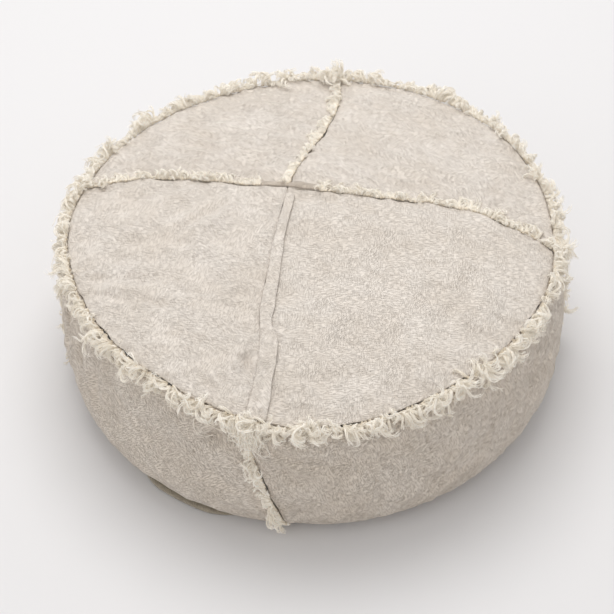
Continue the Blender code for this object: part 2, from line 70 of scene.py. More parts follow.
cushion = {
    "rimRadius": np.hypot(topPoints[:, 0], topPoints[:, 1]).max() + cloth["seamHalf"],
    "rimHeight": topPoints[:, 2].min() + cloth["thick"],
    "crownHeight": topPoints[:, 2].max(),
    "crownPower": 2.6,  # a higher power gives a flatter middle
    "bulgeRadius": sideReach.max(),
    "bulgeHeight": float(np.median(sidePoints[sideReach > sideReach.max() - 0.0004, 2])),
    "baseRadius": np.hypot(basePoints[:, 0], basePoints[:, 1]).max() + cloth["seamHalf"],
    "cornerPower": 2.4,
    "crossing": (-0.10, 0.24),  # where the top's seams meet, in shares of the rim's radius
    "sideSeams": {"right": 354, "back": 82, "left": 180, "front": 254},  # azimuths at the rim
    "sideLean": 10,  # degrees that a side seam runs round from the rim to the base
}
rimRadius, rimHeight = cushion["rimRadius"], cushion["rimHeight"]
crossing = np.array(cushion["crossing"]) * rimRadius
print("rim", round(rimRadius, 4), round(rimHeight, 4), "bulge", round(cushion["bulgeRadius"], 4),
      round(cushion["bulgeHeight"], 4), "base", round(cushion["baseRadius"], 4))


def lengthsAlong(line):
    return np.concatenate([[0.0], np.linalg.norm(np.diff(line, axis=0), axis=1).cumsum()])


def resampled(line, spacing):
    reach = lengthsAlong(line)
    count = max(2, int(round(reach[-1] / spacing)) + 1)
    at = np.linspace(0, reach[-1], count)
    return np.stack([np.interp(at, reach, line[:, k]) for k in range(line.shape[1])], 1)


def smoothed(values, rounds):
    for _ in range(rounds):
        middle = 0.5 * values[1:-1] + 0.25 * (values[:-2] + values[2:])
        values = np.concatenate([values[:1], middle, values[-1:]])
    return values


def topSeam(name, side=0):
    # from the crossing out to the rim, as the sewing thread runs
    points = nodePoints(name)[:, :2]
    if side:
        points = points[(points[:, 0] - crossing[0]) * side > 0]
    away = np.linalg.norm(points - crossing, axis=1)
    bins = np.round(away / 0.012).astype(int)
    middles = [points[bins == k].mean(0) for k in np.unique(bins[away > 0.008])]
    rim = middles[-1] * rimRadius / np.linalg.norm(middles[-1])
    middles = [p for p in middles if np.linalg.norm(p - rim) > 0.006]
    return smoothed(resampled(np.array([crossing, *middles, rim]), cloth["spacing"]), 6)


topSeams = {
    "right": topSeam("cross_seam_thread", 1),
    "back": topSeam("back_seam_thread"),
    "left": topSeam("cross_seam_thread", -1),
    "front": topSeam("front_seam_thread"),
}


def turnOf(point):
    return math.degrees(math.atan2(point[1], point[0])) % 360


def crownAt(x, y):
    share = np.minimum(np.hypot(x, y) / rimRadius, 1.0)
    rise = cushion["crownHeight"] - rimHeight
    return rimHeight + rise * (1 - share ** cushion["crownPower"])


def sideProfile():
    # (radius, height) of the side band from the rim down to the base, close together
    bulge, bulgeHeight = cushion["bulgeRadius"], cushion["bulgeHeight"]
    height = np.linspace(rimHeight, bulgeHeight, 60)
    share = (height - bulgeHeight) / (rimHeight - bulgeHeight)
    upper = np.stack([rimRadius + (bulge - rimRadius) * (1 - share ** 2), height], 1)
    turn = np.linspace(0, math.pi / 2, 80)[1:]
    power = 2 / cushion["cornerPower"]
    foot = cloth["thick"]
    radius = cushion["baseRadius"] + (bulge - cushion["baseRadius"]) * np.cos(turn).clip(0) ** power
    lower = np.stack([radius, bulgeHeight + (foot - bulgeHeight) * np.sin(turn) ** power], 1)
    return np.vstack([upper, lower])


profile = sideProfile()
profileReach = lengthsAlong(profile)
sideDrop = profileReach[-1]


def sidePoint(azimuth, drop):
    # azimuth in degrees, drop in metres along the band from the rim
    radius = np.interp(drop, profileReach, profile[:, 0])
    height = np.interp(drop, profileReach, profile[:, 1])
    turn = np.radians(azimuth)
    return np.stack([radius * np.cos(turn), radius * np.sin(turn), height], -1)


def sideSeamAt(name, drop):
    height = np.interp(drop, profileReach, profile[:, 1])
    return cushion["sideSeams"][name] + cushion["sideLean"] * (1 - height / rimHeight)


handmade = {
    # how the sewn rim wanders: azimuth, then out and up in metres
    "rim": [(0, -0.002, 0.000), (30, 0.005, 0.003), (60, 0.001, 0.001), (85, -0.002, -0.002),
            (115, -0.004, -0.005), (145, 0.000, -0.001), (175, 0.007, 0.000), (200, -0.003, 0.002),
            (230, -0.006, 0.008), (250, 0.000, 0.000), (265, 0.005, -0.008), (280, 0.003, -0.003),
            (298, -0.002, 0.004), (322, -0.004, 0.004), (342, 0.000, 0.000)],
    "footOut": 0.003,  # the front of the base stands out a little
    "footAzimuth": 265,
    "footSpread": 30,
}


def handSewn(points):
    # the same points where the cushion's hand-made shape holds them
    table = np.array(handmade["rim"])
    turns = np.concatenate([table[:, 0] - 360, table[:, 0], table[:, 0] + 360])
    even = np.arange(-360, 720, 4.0)
    out = smoothed(np.interp(even, turns, np.tile(table[:, 1], 3)), 6)
    up = smoothed(np.interp(even, turns, np.tile(table[:, 2], 3)), 6)
    radius = np.hypot(points[:, 0], points[:, 1])
    azimuth = np.degrees(np.arctan2(points[:, 1], points[:, 0])) % 360
    rise = ((points[:, 2] - 0.03) / (rimHeight - 0.03)).clip(0, 1)
    outer = (radius / rimRadius).clip(0, 1.05) ** 4
    rise = rise * rise * (3 - 2 * rise) * outer
    away = np.abs((azimuth - handmade["footAzimuth"] + 180) % 360 - 180)
    foot = handmade["footOut"] * (1 - rise) * outer * np.exp(-(away / handmade["footSpread"]) ** 2)
    grow = 1 + (np.interp(azimuth, even, out) * rise + foot) / radius.clip(0.01)
    moved = points * np.stack([grow, grow, np.ones(len(points))], 1)
    moved[:, 2] += np.interp(azimuth, even, up) * rise
    return moved


# the cover is laid out as one skin, then cut into its panels
def ringTurns(fixed, radius):
    # azimuths round a circle that hold every fixed one, evenly spaced between them
    fixed = sorted(set(round(f % 360, 6) for f in fixed))
    turns = []
    for start, end in zip(fixed, fixed[1:] + [fixed[0] + 360]):
        count = max(1, int(round(math.radians(end - start) * radius / cloth["spacing"])))
        turns += [start + (end - start) * k / count for k in range(count)]
    return np.array(turns)


def arcOf(turns, start, end):
    span = (end - start) % 360 or 360
    ahead = (turns - start) % 360
    ahead[ahead > 359.9999] = 0
    picked = np.sort(ahead[ahead <= span + 1e-4])
    if abs(picked[-1] - span) > 1e-3:
        picked = np.append(picked, span)
    return start + picked


def insideOf(points, outline):
    inside = np.zeros(len(points), bool)
    for a, b in zip(outline, np.roll(outline, -1, 0)):
        crosses = (a[1] > points[:, 1]) != (b[1] > points[:, 1])
        slope = (b[0] - a[0]) / (b[1] - a[1] if b[1] != a[1] else 1)
        inside ^= crosses & (points[:, 0] < a[0] + (points[:, 1] - a[1]) * slope)
    return inside


def triangulate(outline):
    step = cloth["spacing"]
    low, high = outline.min(0), outline.max(0)
    rows = np.arange(low[1], high[1], step * math.sqrt(3) / 2)
    across, up = np.meshgrid(np.arange(low[0], high[0], step), rows)
    across = across + step / 2 * (np.arange(len(rows)) % 2)[:, None]
    inner = np.stack([across.ravel(), up.ravel()], 1)
    inner = inner[insideOf(inner, outline)]
    gap = np.linalg.norm(inner[:, None] - outline[None], axis=2).min(1)
    points = np.vstack([outline, inner[gap > 0.62 * step]])
    edges = [(k, (k + 1) % len(outline)) for k in range(len(outline))]
    found = delaunay_2d_cdt([Vector(p) for p in points * 1000], edges, [], 1, 1e-5)
    if len(found[0]) != len(points):
        print("a panel's outline meets itself:", len(points), len(found[0]))
    return np.array([tuple(v) for v in found[0]]) / 1000, np.array(found[2])


def joinedLoop(*lines):
    loop = []
    for line in lines:
        for point in line:
            if not loop or np.linalg.norm(point - loop[-1]) > 1e-4:
                loop.append(point)
    if np.linalg.norm(loop[0] - loop[-1]) < 1e-4:
        loop.pop()
    return np.array(loop)


rimTurns = ringTurns([turnOf(topSeams[s][-1]) for s in around] + list(cushion["sideSeams"].values()),
                     rimRadius)
footTurns = ringTurns([sideSeamAt(s, sideDrop) for s in around] + [0, 180], cushion["baseRadius"])
dropSteps = np.linspace(0, sideDrop, int(sideDrop / cloth["spacing"]) + 1)


def topPatch(quarter):
    first, second = around[quarter], around[(quarter + 1) % 4]
    turns = arcOf(rimTurns, turnOf(topSeams[first][-1]), turnOf(topSeams[second][-1]))
    rim = rimRadius * np.stack([np.cos(np.radians(turns)), np.sin(np.radians(turns))], 1)
    flat, faces = triangulate(joinedLoop(topSeams[first], rim[1:-1], topSeams[second][::-1]))
    place = np.stack([flat[:, 0], flat[:, 1], crownAt(flat[:, 0], flat[:, 1])], 1)
    return flat, place, faces


def sidePatch(quarter):
    # laid flat as (azimuth times the bulge's radius, drop)
    first, second = around[quarter], around[(quarter + 1) % 4]
    scale = math.radians(1) * cushion["bulgeRadius"]
    start, end = cushion["sideSeams"][first], cushion["sideSeams"][second]
    span = (end - start) % 360
    top = arcOf(rimTurns, start, end)
    footStart = sideSeamAt(first, sideDrop)
    bottom = arcOf(footTurns, footStart, footStart + span)
    left = np.stack([sideSeamAt(first, dropSteps) * scale, dropSteps], 1)
    right = np.stack([(sideSeamAt(first, dropSteps) + span) * scale, dropSteps], 1)
    upper = np.stack([top * scale, np.zeros(len(top))], 1)
    lower = np.stack([bottom * scale, np.full(len(bottom), sideDrop)], 1)
    flat, faces = triangulate(joinedLoop(upper, right, lower[::-1], left[::-1]))
    return flat, sidePoint(flat[:, 0] / scale, flat[:, 1]), faces


def basePatch(back):
    radius = cushion["baseRadius"]
    start = 0 if back else 180
    turns = arcOf(footTurns, start, start + 180)
    rim = radius * np.stack([np.cos(np.radians(turns)), np.sin(np.radians(turns))], 1)
    straight = resampled(np.array([rim[-1], rim[0]]), cloth["spacing"])
    flat, faces = triangulate(joinedLoop(rim, straight[1:-1]))
    onEdge = np.hypot(flat[:, 0], flat[:, 1]) > radius - 1e-5
    height = np.where(onEdge, profile[-1, 1], cloth["thick"] / 2)
    return flat, aroundZip(flat, height, 1 if back else -1), faces


zipper = {
    "half": 0.197,  # where the base panels start to part, and where they meet again
    "closed": 0.208,
    "open": 0.006,  # from the zip's middle to a base panel's hem
    "foot": 0.020,  # where the panels start to rise
    "rise": 0.0047,
    "slope": 0.007,  # how far across they climb
}


def softStep(values):
    share = np.clip(values, 0, 1)
    return share * share * (3 - 2 * share)


def aroundZip(flat, height, side):
    # the base panels lift off the floor along the zip and part over it
    near = softStep((zipper["closed"] - np.abs(flat[:, 0])) / (zipper["closed"] - zipper["half"]))
    away = np.abs(flat[:, 1])
    parted = zipper["open"] + away * (zipper["foot"] - zipper["open"]) / zipper["foot"]
    parted = np.where(away < zipper["foot"], parted, away)
    rise = softStep((zipper["foot"] - parted) / zipper["slope"]) * near
    y = side * (away * (1 - near) + parted * near)
    return np.stack([flat[:, 0], y, height + zipper["rise"] * rise], 1)


def facingOut(place, faces, outward):
    a, b, c = place[faces[:, 0]], place[faces[:, 1]], place[faces[:, 2]]
    middle = (a + b + c) / 3
    facing = (np.cross(b - a, c - a) * outward(middle)).sum(1) > 0
    return np.where(facing[:, None], faces, faces[:, ::-1])


def madeSkin():
    patches, points, index = [], [], {}
    for kind in ("top", "side", "base"):
        for k in range(4 if kind != "base" else 2):
            if kind == "top":
                name, (flat, place, faces) = "top_panel_" + quarters[k], topPatch(k)
                outward = lambda m: np.array([0, 0, 1.0])
            elif kind == "side":
                name, (flat, place, faces) = "side_panel_" + quarters[k], sidePatch(k)
                outward = lambda m: m * np.array([1.0, 1, 0])
            else:
                name = "base_panel_" + ("back" if k else "front")
                flat, place, faces = basePatch(bool(k))
                outward = lambda m: np.array([0, 0, -1.0])
            faces = facingOut(place, faces, outward)
            ids = []
            for point in place:
                key = tuple(np.round(point * 20000).astype(int))
                if key not in index:
                    index[key] = len(points)
                    points.append(point)
                ids.append(index[key])
            ids = np.array(ids)
            edge = faces[:, [0, 1, 1, 2, 2, 0]].reshape(-1, 2)
            keys, counts = np.unique(np.sort(edge, 1), axis=0, return_counts=True)
            rimLoop = walkedLoop(edge, keys[counts == 1])
            patches.append({"name": name, "kind": kind, "flat": flat, "faces": faces,
                            "ids": ids, "loop": rimLoop})
    return patches, np.array(points)


def walkedLoop(directed, openEdges):
    # the outline's points in order, anticlockwise seen from outside
    wanted = set(map(tuple, openEdges))
    after = {a: b for a, b in directed if (min(a, b), max(a, b)) in wanted}
    start = next(iter(after))
    loop = [start]
    while after[loop[-1]] != start:
        loop.append(after[loop[-1]])
    return np.array(loop)


patches, skinRest = madeSkin()
skinRest = handSewn(skinRest)
skinFaces = np.vstack([p["ids"][p["faces"]] for p in patches])
skinFaces = skinFaces[(skinFaces[:, 0] != skinFaces[:, 1]) & (skinFaces[:, 1] != skinFaces[:, 2])
                      & (skinFaces[:, 0] != skinFaces[:, 2])]
onSeam = np.zeros(len(skinRest), bool)
for patch in patches:
    onSeam[patch["ids"][patch["loop"]]] = True
print("skin:", len(skinRest), "points,", len(skinFaces), "triangles,", onSeam.sum(), "on seams")


def normalsOf(place, faces):
    a, b, c = place[faces[:, 0]], place[faces[:, 1]], place[faces[:, 2]]
    facing = np.cross(b - a, c - a)
    total = np.zeros_like(place)
    for k in range(3):
        np.add.at(total, faces[:, k], facing)
    return total / np.linalg.norm(total, axis=1, keepdims=True).clip(1e-12)


filling = {
    "frames": 20,
    "pressure": 4.0,
    "slack": 0.012,  # how much longer the cloth is than the shape it is sewn to
    "most": 0.0065,  # how far a point of the cover may move
    "mass": 0.25,
    "stretch": 18,
    "shear": 8,
    "bend": 0.6,
}


def puffed(rest, faces):
    mesh = bpy.data.meshes.new("skin")
    mesh.from_pydata([tuple(p) for p in rest], [], [tuple(map(int, f)) for f in faces])
    skin = bpy.data.objects.new("skin", mesh)
    scene.collection.objects.link(skin)
    held = skin.vertex_groups.new(name="held")
    still = onSeam.copy()
    for patch in patches:
        if patch["kind"] == "base":
            still[patch["ids"]] = True
    held.add([int(k) for k in np.nonzero(still)[0]], 1.0, "ADD")
    sim = skin.modifiers.new("cloth", "CLOTH")
    settings = sim.settings
    settings.quality = 6
    settings.mass = filling["mass"]
    settings.tension_stiffness = filling["stretch"]
    settings.compression_stiffness = filling["stretch"]
    settings.shear_stiffness = filling["shear"]
    settings.bending_stiffness = filling["bend"]
    settings.vertex_group_mass = "held"
    settings.shrink_min = -filling["slack"]
    settings.use_pressure = True
    settings.uniform_pressure_force = filling["pressure"]
    settings.effector_weights.gravity = 0
    sim.collision_settings.use_collision = False
    sim.point_cache.frame_start = 1
    sim.point_cache.frame_end = filling["frames"]
    for step in range(1, filling["frames"] + 1):
        scene.frame_set(step)
    graph = bpy.context.evaluated_depsgraph_get()
    flat = np.empty(len(rest) * 3)
    skin.evaluated_get(graph).data.vertices.foreach_get("co", flat)
    bpy.data.objects.remove(skin)
    scene.frame_set(1)
    moved = flat.reshape(-1, 3) - rest
    far = np.linalg.norm(moved, axis=1, keepdims=True)
    print("cover moved by up to", round(float(far.max()) * 1000, 1), "mm before the cap")
    return rest + moved * np.tanh(far / filling["most"]) * filling["most"] / far.clip(1e-9)


skinPlace = skinRest.copy()
skinPlace = puffed(skinRest, skinFaces)
print("cover filled")


# meshes and materials
def addMesh(name, points, faces, material, smooth=True):
    mesh = bpy.data.meshes.new(name)
    faces = np.asarray(faces)
    sides = faces.shape[1]
    mesh.vertices.add(len(points))
    mesh.vertices.foreach_set("co", np.asarray(points, np.float32).ravel())
    mesh.loops.add(faces.size)
    mesh.loops.foreach_set("vertex_index", faces.astype(np.int32).ravel())
    mesh.polygons.add(len(faces))
    mesh.polygons.foreach_set("loop_start", np.arange(0, faces.size, sides, dtype=np.int32))
    mesh.update(calc_edges=True)
    if smooth:
        mesh.shade_smooth()
    mesh.materials.append(material)
    piece = bpy.data.objects.new(name, mesh)
    scene.collection.objects.link(piece)
    return piece


def addValues(piece, name, values):
    made = piece.data.attributes.new(name, "FLOAT", "POINT")
    made.data.foreach_set("value", np.asarray(values, np.float32))


def nodeGroup(name, inputs, outputs):
    # inputs and outputs are {"Name": default}, a colour where the default has four parts
    group = bpy.data.node_groups.new(name, "ShaderNodeTree")
    for way, sockets in (("INPUT", inputs), ("OUTPUT", outputs)):
        for label, default in sockets.items():
            kind = "NodeSocketFloat"
            if default == "vector":
                kind = "NodeSocketVector"
            elif isinstance(default, tuple):
                kind = "NodeSocketColor"
            socket = group.interface.new_socket(name=label, in_out=way, socket_type=kind)
            if default != "vector":
                socket.default_value = default
    return group, group.nodes.new("NodeGroupInput"), group.nodes.new("NodeGroupOutput")


def addNode(tree, kind, values=None, links=None, **settings):
    node = tree.nodes.new("ShaderNode" + kind)
    for key, value in settings.items():
        setattr(node, key, value)
    for key, value in (values or {}).items():
        node.inputs[key].default_value = value
    for key, source in (links or {}).items():
        tree.links.new(source, node.inputs[key])
    return node


def mathNode(tree, operation, a, b=None, c=None, clamp=False):
    node = tree.nodes.new("ShaderNodeMath")
    node.operation = operation
    node.use_clamp = clamp
    for k, value in enumerate((a, b, c)):
        if value is None:
            continue
        if isinstance(value, (int, float)):
            node.inputs[k].default_value = value
        else:
            tree.links.new(value, node.inputs[k])
    return node.outputs[0]


def mixColour(tree, factor, a, b, blend="MIX"):
    node = addNode(tree, "Mix", data_type="RGBA", blend_type=blend)
    for key, value in ((0, factor), (6, a), (7, b)):
        if isinstance(value, (int, float, tuple)):
            node.inputs[key].default_value = value
        else:
            tree.links.new(value, node.inputs[key])
    return node.outputs[2]


def ramp(tree, source, low, high):
    node = addNode(tree, "MapRange", {1: low, 2: high, 3: 0.0, 4: 1.0}, {0: source}, clamp=True,
                   interpolation_type="SMOOTHSTEP")
    return node.outputs[0]


# effects that several materials share
def weaveGroup():
    # plain weave: threads over and under each other. Grain is in metres
    group, given, made = nodeGroup("plainWeave", {"Grain": "vector", "Threads per metre": 1100.0,
                                                  "Unevenness": 0.4}, {"Height": 0.0, "Slub": 0.0})
    split = addNode(group, "SeparateXYZ", links={0: given.outputs["Grain"]})
    drift = addNode(group, "TexNoise", {"Scale": 160.0, "Detail": 2.0}, {"Vector": given.outputs["Grain"]})
    bend = mathNode(group, "MULTIPLY", drift.outputs["Fac"], given.outputs["Unevenness"])
    waves = []
    for axis in (0, 1):
        turns = mathNode(group, "MULTIPLY", split.outputs[axis], given.outputs["Threads per metre"])
        turns = mathNode(group, "MULTIPLY_ADD", turns, math.pi, bend)
        waves.append(mathNode(group, "SINE", turns))
    product = mathNode(group, "MULTIPLY", waves[0], waves[1])
    overUnder = mathNode(group, "MULTIPLY_ADD", product, 0.5, 0.5)
    longScale = addNode(group, "Mapping", {"Scale": (900.0, 30.0, 1.0)}, {"Vector": given.outputs["Grain"]})
    along = addNode(group, "TexNoise", {"Scale": 1.0, "Detail": 1.0}, {"Vector": longScale.outputs[0]})
    crossScale = addNode(group, "Mapping", {"Scale": (30.0, 900.0, 1.0)}, {"Vector": given.outputs["Grain"]})
    across = addNode(group, "TexNoise", {"Scale": 1.0, "Detail": 1.0}, {"Vector": crossScale.outputs[0]})
    slub = mathNode(group, "ADD", along.outputs["Fac"], across.outputs["Fac"])
    slub = mathNode(group, "MULTIPLY", slub, 0.5)
    group.links.new(overUnder, made.inputs["Height"])
    group.links.new(slub, made.inputs["Slub"])
    return group


def crinkleGroup():
    # short creases in three slanting directions, stronger in patches, as washed cloth has
    group, given, made = nodeGroup("crinkle", {"Grain": "vector", "Length": 0.0070, "Width": 0.00115},
                                   {"Creases": 0.0})
    patches = addNode(group, "TexNoise", {"Scale": 30.0, "Detail": 2.0}, {"Vector": given.outputs["Grain"]})
    total = None
    for turn, low, high in ((38, 0.40, 0.56), (-47, 0.60, 0.44), (84, 0.50, 0.68)):
        weight = mathNode(group, "MULTIPLY_ADD", ramp(group, patches.outputs["Fac"], low, high), 0.8, 0.2)
        turned = addNode(group, "VectorRotate", {"Angle": math.radians(turn)},
                         {"Vector": given.outputs["Grain"]}, rotation_type="Z_AXIS")
        split = addNode(group, "SeparateXYZ", links={0: turned.outputs[0]})
        longWay = mathNode(group, "DIVIDE", split.outputs[0], given.outputs["Length"])
        shortWay = mathNode(group, "DIVIDE", split.outputs[1], given.outputs["Width"])
        spread = addNode(group, "CombineXYZ", links={0: longWay, 1: shortWay})
        streaks = {"Scale": 1.0, "Detail": 1.0, "Roughness": 0.5, "Distortion": 0.15}
        lines = addNode(group, "TexNoise", streaks, {"Vector": spread.outputs[0]})
        one = mathNode(group, "MULTIPLY", ramp(group, lines.outputs["Fac"], 0.51, 0.62), weight)
        total = one if total is None else mathNode(group, "ADD", total, one)
    group.links.new(total, made.inputs["Creases"])
    return group


def fadeGroup():
    # soft cloudy fading of washed cloth
    group, given, made = nodeGroup("fade", {"Grain": "vector", "Size": 0.05}, {"Cloud": 0.0})
    size = mathNode(group, "DIVIDE", 1.0, given.outputs["Size"])
    cloud = addNode(group, "TexNoise", {"Detail": 4.0, "Roughness": 0.55},
                    {"Vector": given.outputs["Grain"], "Scale": size})
    group.links.new(ramp(group, cloud.outputs["Fac"], 0.3, 0.7), made.inputs["Cloud"])
    return group


plainWeave, crinkle, fade = weaveGroup(), crinkleGroup(), fadeGroup()


def placed(tree, group, **links):
    node = tree.nodes.new("ShaderNodeGroup")
    node.node_tree = group
    for key, value in links.items():
        key = key.replace("_", " ")
        if isinstance(value, (int, float)):
            node.inputs[key].default_value = value
        else:
            tree.links.new(value, node.inputs[key])
    return node


def newMaterial(name, roughness, metallic=0.0, sheen=0.0):
    material = bpy.data.materials.new(name)
    material.use_nodes = True
    tree = material.node_tree
    shader = next(n for n in tree.nodes if n.type == "BSDF_PRINCIPLED")
    shader.inputs["Roughness"].default_value = roughness
    shader.inputs["Metallic"].default_value = metallic
    shader.inputs["Sheen Weight"].default_value = sheen
    shader.inputs["Sheen Roughness"].default_value = 0.5
    shader.inputs["Specular IOR Level"].default_value = 0.25
    return material, tree, shader


coverLook = {
    "pale": (0.80, 0.735, 0.665, 1),
    "base": (0.735, 0.66, 0.58, 1),
    "dark": (0.46, 0.385, 0.31, 1),
    # how much darker the crease lines are painted: partly painted shade in the small creases, partly the
    # washed cloth's own pattern
    "creases": 0.28,
    "bump": 0.8,
}


def coverMaterial(name, look, mapName="grain"):
    material, tree, shader = newMaterial(name, 0.92, sheen=0.25)
    grain = addNode(tree, "UVMap", uv_map=mapName).outputs[0]
    weave = placed(tree, plainWeave, Grain=grain)
    creases = placed(tree, crinkle, Grain=grain)
    clouds = placed(tree, fade, Grain=grain, Size=0.06)
    spots = placed(tree, fade, Grain=grain, Size=0.012)
    colour = mixColour(tree, clouds.outputs[0], look["base"], look["pale"])
    speckle = mathNode(tree, "MULTIPLY", spots.outputs[0], 0.13)
    colour = mixColour(tree, speckle, colour, look["dark"])
    # crease lines painted darker: partly painted shade in the small creases, partly the washed cloth's own
    # pattern
    creaseLinesAndShade = mathNode(tree, "MULTIPLY", creases.outputs[0], look["creases"])
    colour = mixColour(tree, creaseLinesAndShade, colour, look["dark"])
    slubs = mathNode(tree, "MULTIPLY", ramp(tree, weave.outputs["Slub"], 0.44, 0.60), 0.16)
    colour = mixColour(tree, slubs, colour, look["pale"])
    tree.links.new(colour, shader.inputs["Base Color"])
    high = mathNode(tree, "MULTIPLY", weave.outputs["Height"], 0.12)
    high = mathNode(tree, "MULTIPLY_ADD", creases.outputs[0], -1.0, high)
    high = mathNode(tree, "MULTIPLY_ADD", weave.outputs["Slub"], 0.5, high)
    bump = addNode(tree, "Bump", {"Strength": look["bump"], "Distance": 0.0011}, {"Height": high})
    tree.links.new(bump.outputs[0], shader.inputs["Normal"])
    rough = mathNode(tree, "MULTIPLY_ADD", clouds.outputs[0], 0.06, 0.88)
    tree.links.new(rough, shader.inputs["Roughness"])
    return material


coverCloth = coverMaterial("washedCotton", coverLook)
# painted light: the side band gets a lighter copy of the cover cloth, lifting its shade, with its crease
# lines painted darker and stronger
litSideLook = dict(coverLook, pale=(0.84, 0.755, 0.66, 1), base=(0.785, 0.69, 0.585, 1),
                dark=(0.54, 0.44, 0.34, 1), creases=0.50, bump=1.0)
litSideCloth = coverMaterial("washedCottonSideLit", litSideLook)

yarnLook = {
    "tip": (0.975, 0.93, 0.855, 1),
    "body": (0.92, 0.865, 0.77, 1),
    # painted shade: the colour of the yarn's roots, deep in the fringe; also the darker tone that some yarns
    # have at random
    "deep": (0.70, 0.60, 0.45, 1),
    "paintedGlow": 0.10,  # painted light: the yarn gives off light in its own colour, lifting the shade inside the fringe
}


def yarnMaterial(name, look):
    material, tree, shader = newMaterial(name, 0.95, sheen=0.3)
    reach = addNode(tree, "Attribute", attribute_name="reach").outputs["Fac"]
    tone = addNode(tree, "Attribute", attribute_name="tone").outputs["Fac"]
    # painted shade: darker towards the roots, where the fringe lies in its own shadow
    colour = mixColour(tree, ramp(tree, reach, -0.1, 0.25), look["deep"], look["body"])
    colour = mixColour(tree, ramp(tree, reach, 0.3, 1.0), colour, look["tip"])
    shade = mathNode(tree, "MULTIPLY", tone, 0.5)
    colour = mixColour(tree, shade, colour, look["deep"])
    coords = addNode(tree, "TexCoord").outputs["Object"]
    fuzz = addNode(tree, "TexNoise", {"Scale": 900.0, "Detail": 2.0}, {"Vector": coords})
    light = mathNode(tree, "MULTIPLY", ramp(tree, fuzz.outputs["Fac"], 0.4, 0.65), 0.2)
    colour = mixColour(tree, light, colour, look["tip"])
    tree.links.new(colour, shader.inputs["Base Color"])
    # painted light: the yarn gives off light in its own colour, lifting the shade inside the fringe
    tree.links.new(colour, shader.inputs["Emission Color"])
    shader.inputs["Emission Strength"].default_value = look["paintedGlow"]
    return material


yarn = yarnMaterial("rawYarn", yarnLook)
print("materials made")


wrinkles = {
    "lumps": 0.0022,  # broad unevenness of the filling
    "soft": 0.0026,  # soft folds of washed cloth
    "gather": 0.0015,  # puckers that the rim's seam draws
    "foldScale": 3.2,  # how much deeper than the depths below
    # single folds: points along each, how deep and how wide
    "folds": [
        ([(-0.176, -0.016, 0.208), (-0.137, 0.015, 0.210), (-0.098, 0.045, 0.212)], 0.0024, 0.0070),
        ([(-0.255, -0.020, 0.200), (-0.190, -0.022, 0.206), (-0.120, -0.030, 0.210)], 0.0013, 0.0080),
        ([(-0.280, -0.060, 0.197), (-0.235, -0.075, 0.202), (-0.160, -0.085, 0.207)], 0.0018, 0.0085),
        ([(-0.272, -0.090, 0.197), (-0.218, -0.112, 0.203), (-0.170, -0.125, 0.206)], 0.0016, 0.0070),
        ([(-0.160, -0.100, 0.208), (-0.120, -0.125, 0.209), (-0.088, -0.145, 0.209)], 0.0012, 0.0080),
        ([(-0.245, 0.060, 0.203), (-0.180, 0.070, 0.208), (-0.130, 0.090, 0.210)], 0.0012, 0.0090),
        ([(0.020, 0.050, 0.213), (0.060, 0.020, 0.213), (0.120, -0.010, 0.211)], 0.0012, 0.0080),
        ([(0.060, 0.120, 0.210), (0.120, 0.150, 0.206), (0.180, 0.150, 0.202)], 0.0011, 0.0090),
        ([(0.200, -0.060, 0.205), (0.170, -0.130, 0.204), (0.120, -0.190, 0.201)], 0.0011, 0.0100),
        ([(-0.074, -0.190, 0.206), (-0.076, -0.210, 0.204), (-0.074, -0.232, 0.202)], 0.0030, 0.0070),
        ([(-0.286, -0.080, 0.180), (-0.297, -0.091, 0.130), (-0.292, -0.105, 0.080)], 0.0026, 0.0090),
        ([(-0.268, -0.118, 0.180), (-0.278, -0.132, 0.120), (-0.272, -0.145, 0.060)], 0.0020, 0.0100),
        ([(-0.250, -0.158, 0.175), (-0.262, -0.165, 0.130), (-0.262, -0.165, 0.070)], 0.0014, 0.0090),
        ([(-0.103, -0.280, 0.176), (-0.112, -0.279, 0.160), (-0.128, -0.276, 0.140)], 0.0034, 0.0090),
        ([(-0.062, -0.292, 0.170), (-0.030, -0.302, 0.150), (0.020, -0.306, 0.140)], 0.0022, 0.0080),
        ([(-0.060, -0.296, 0.160), (-0.025, -0.305, 0.120), (0.030, -0.307, 0.095)], 0.0018, 0.0090),
        ([(-0.215, -0.205, 0.060), (-0.150, -0.258, 0.045), (-0.080, -0.290, 0.040)], 0.0013, 0.0090),
        ([(0.090, -0.280, 0.160), (0.150, -0.262, 0.110), (0.220, -0.212, 0.085)], 0.0014, 0.0110),
        ([(0.215, -0.205, 0.165), (0.262, -0.160, 0.120), (0.290, -0.095, 0.110)], 0.0014, 0.0110),
    ],
}


def noiseAt(points, size, shift=0.0):
    place = points / size + shift
    return np.array([noise.noise(p) for p in place])


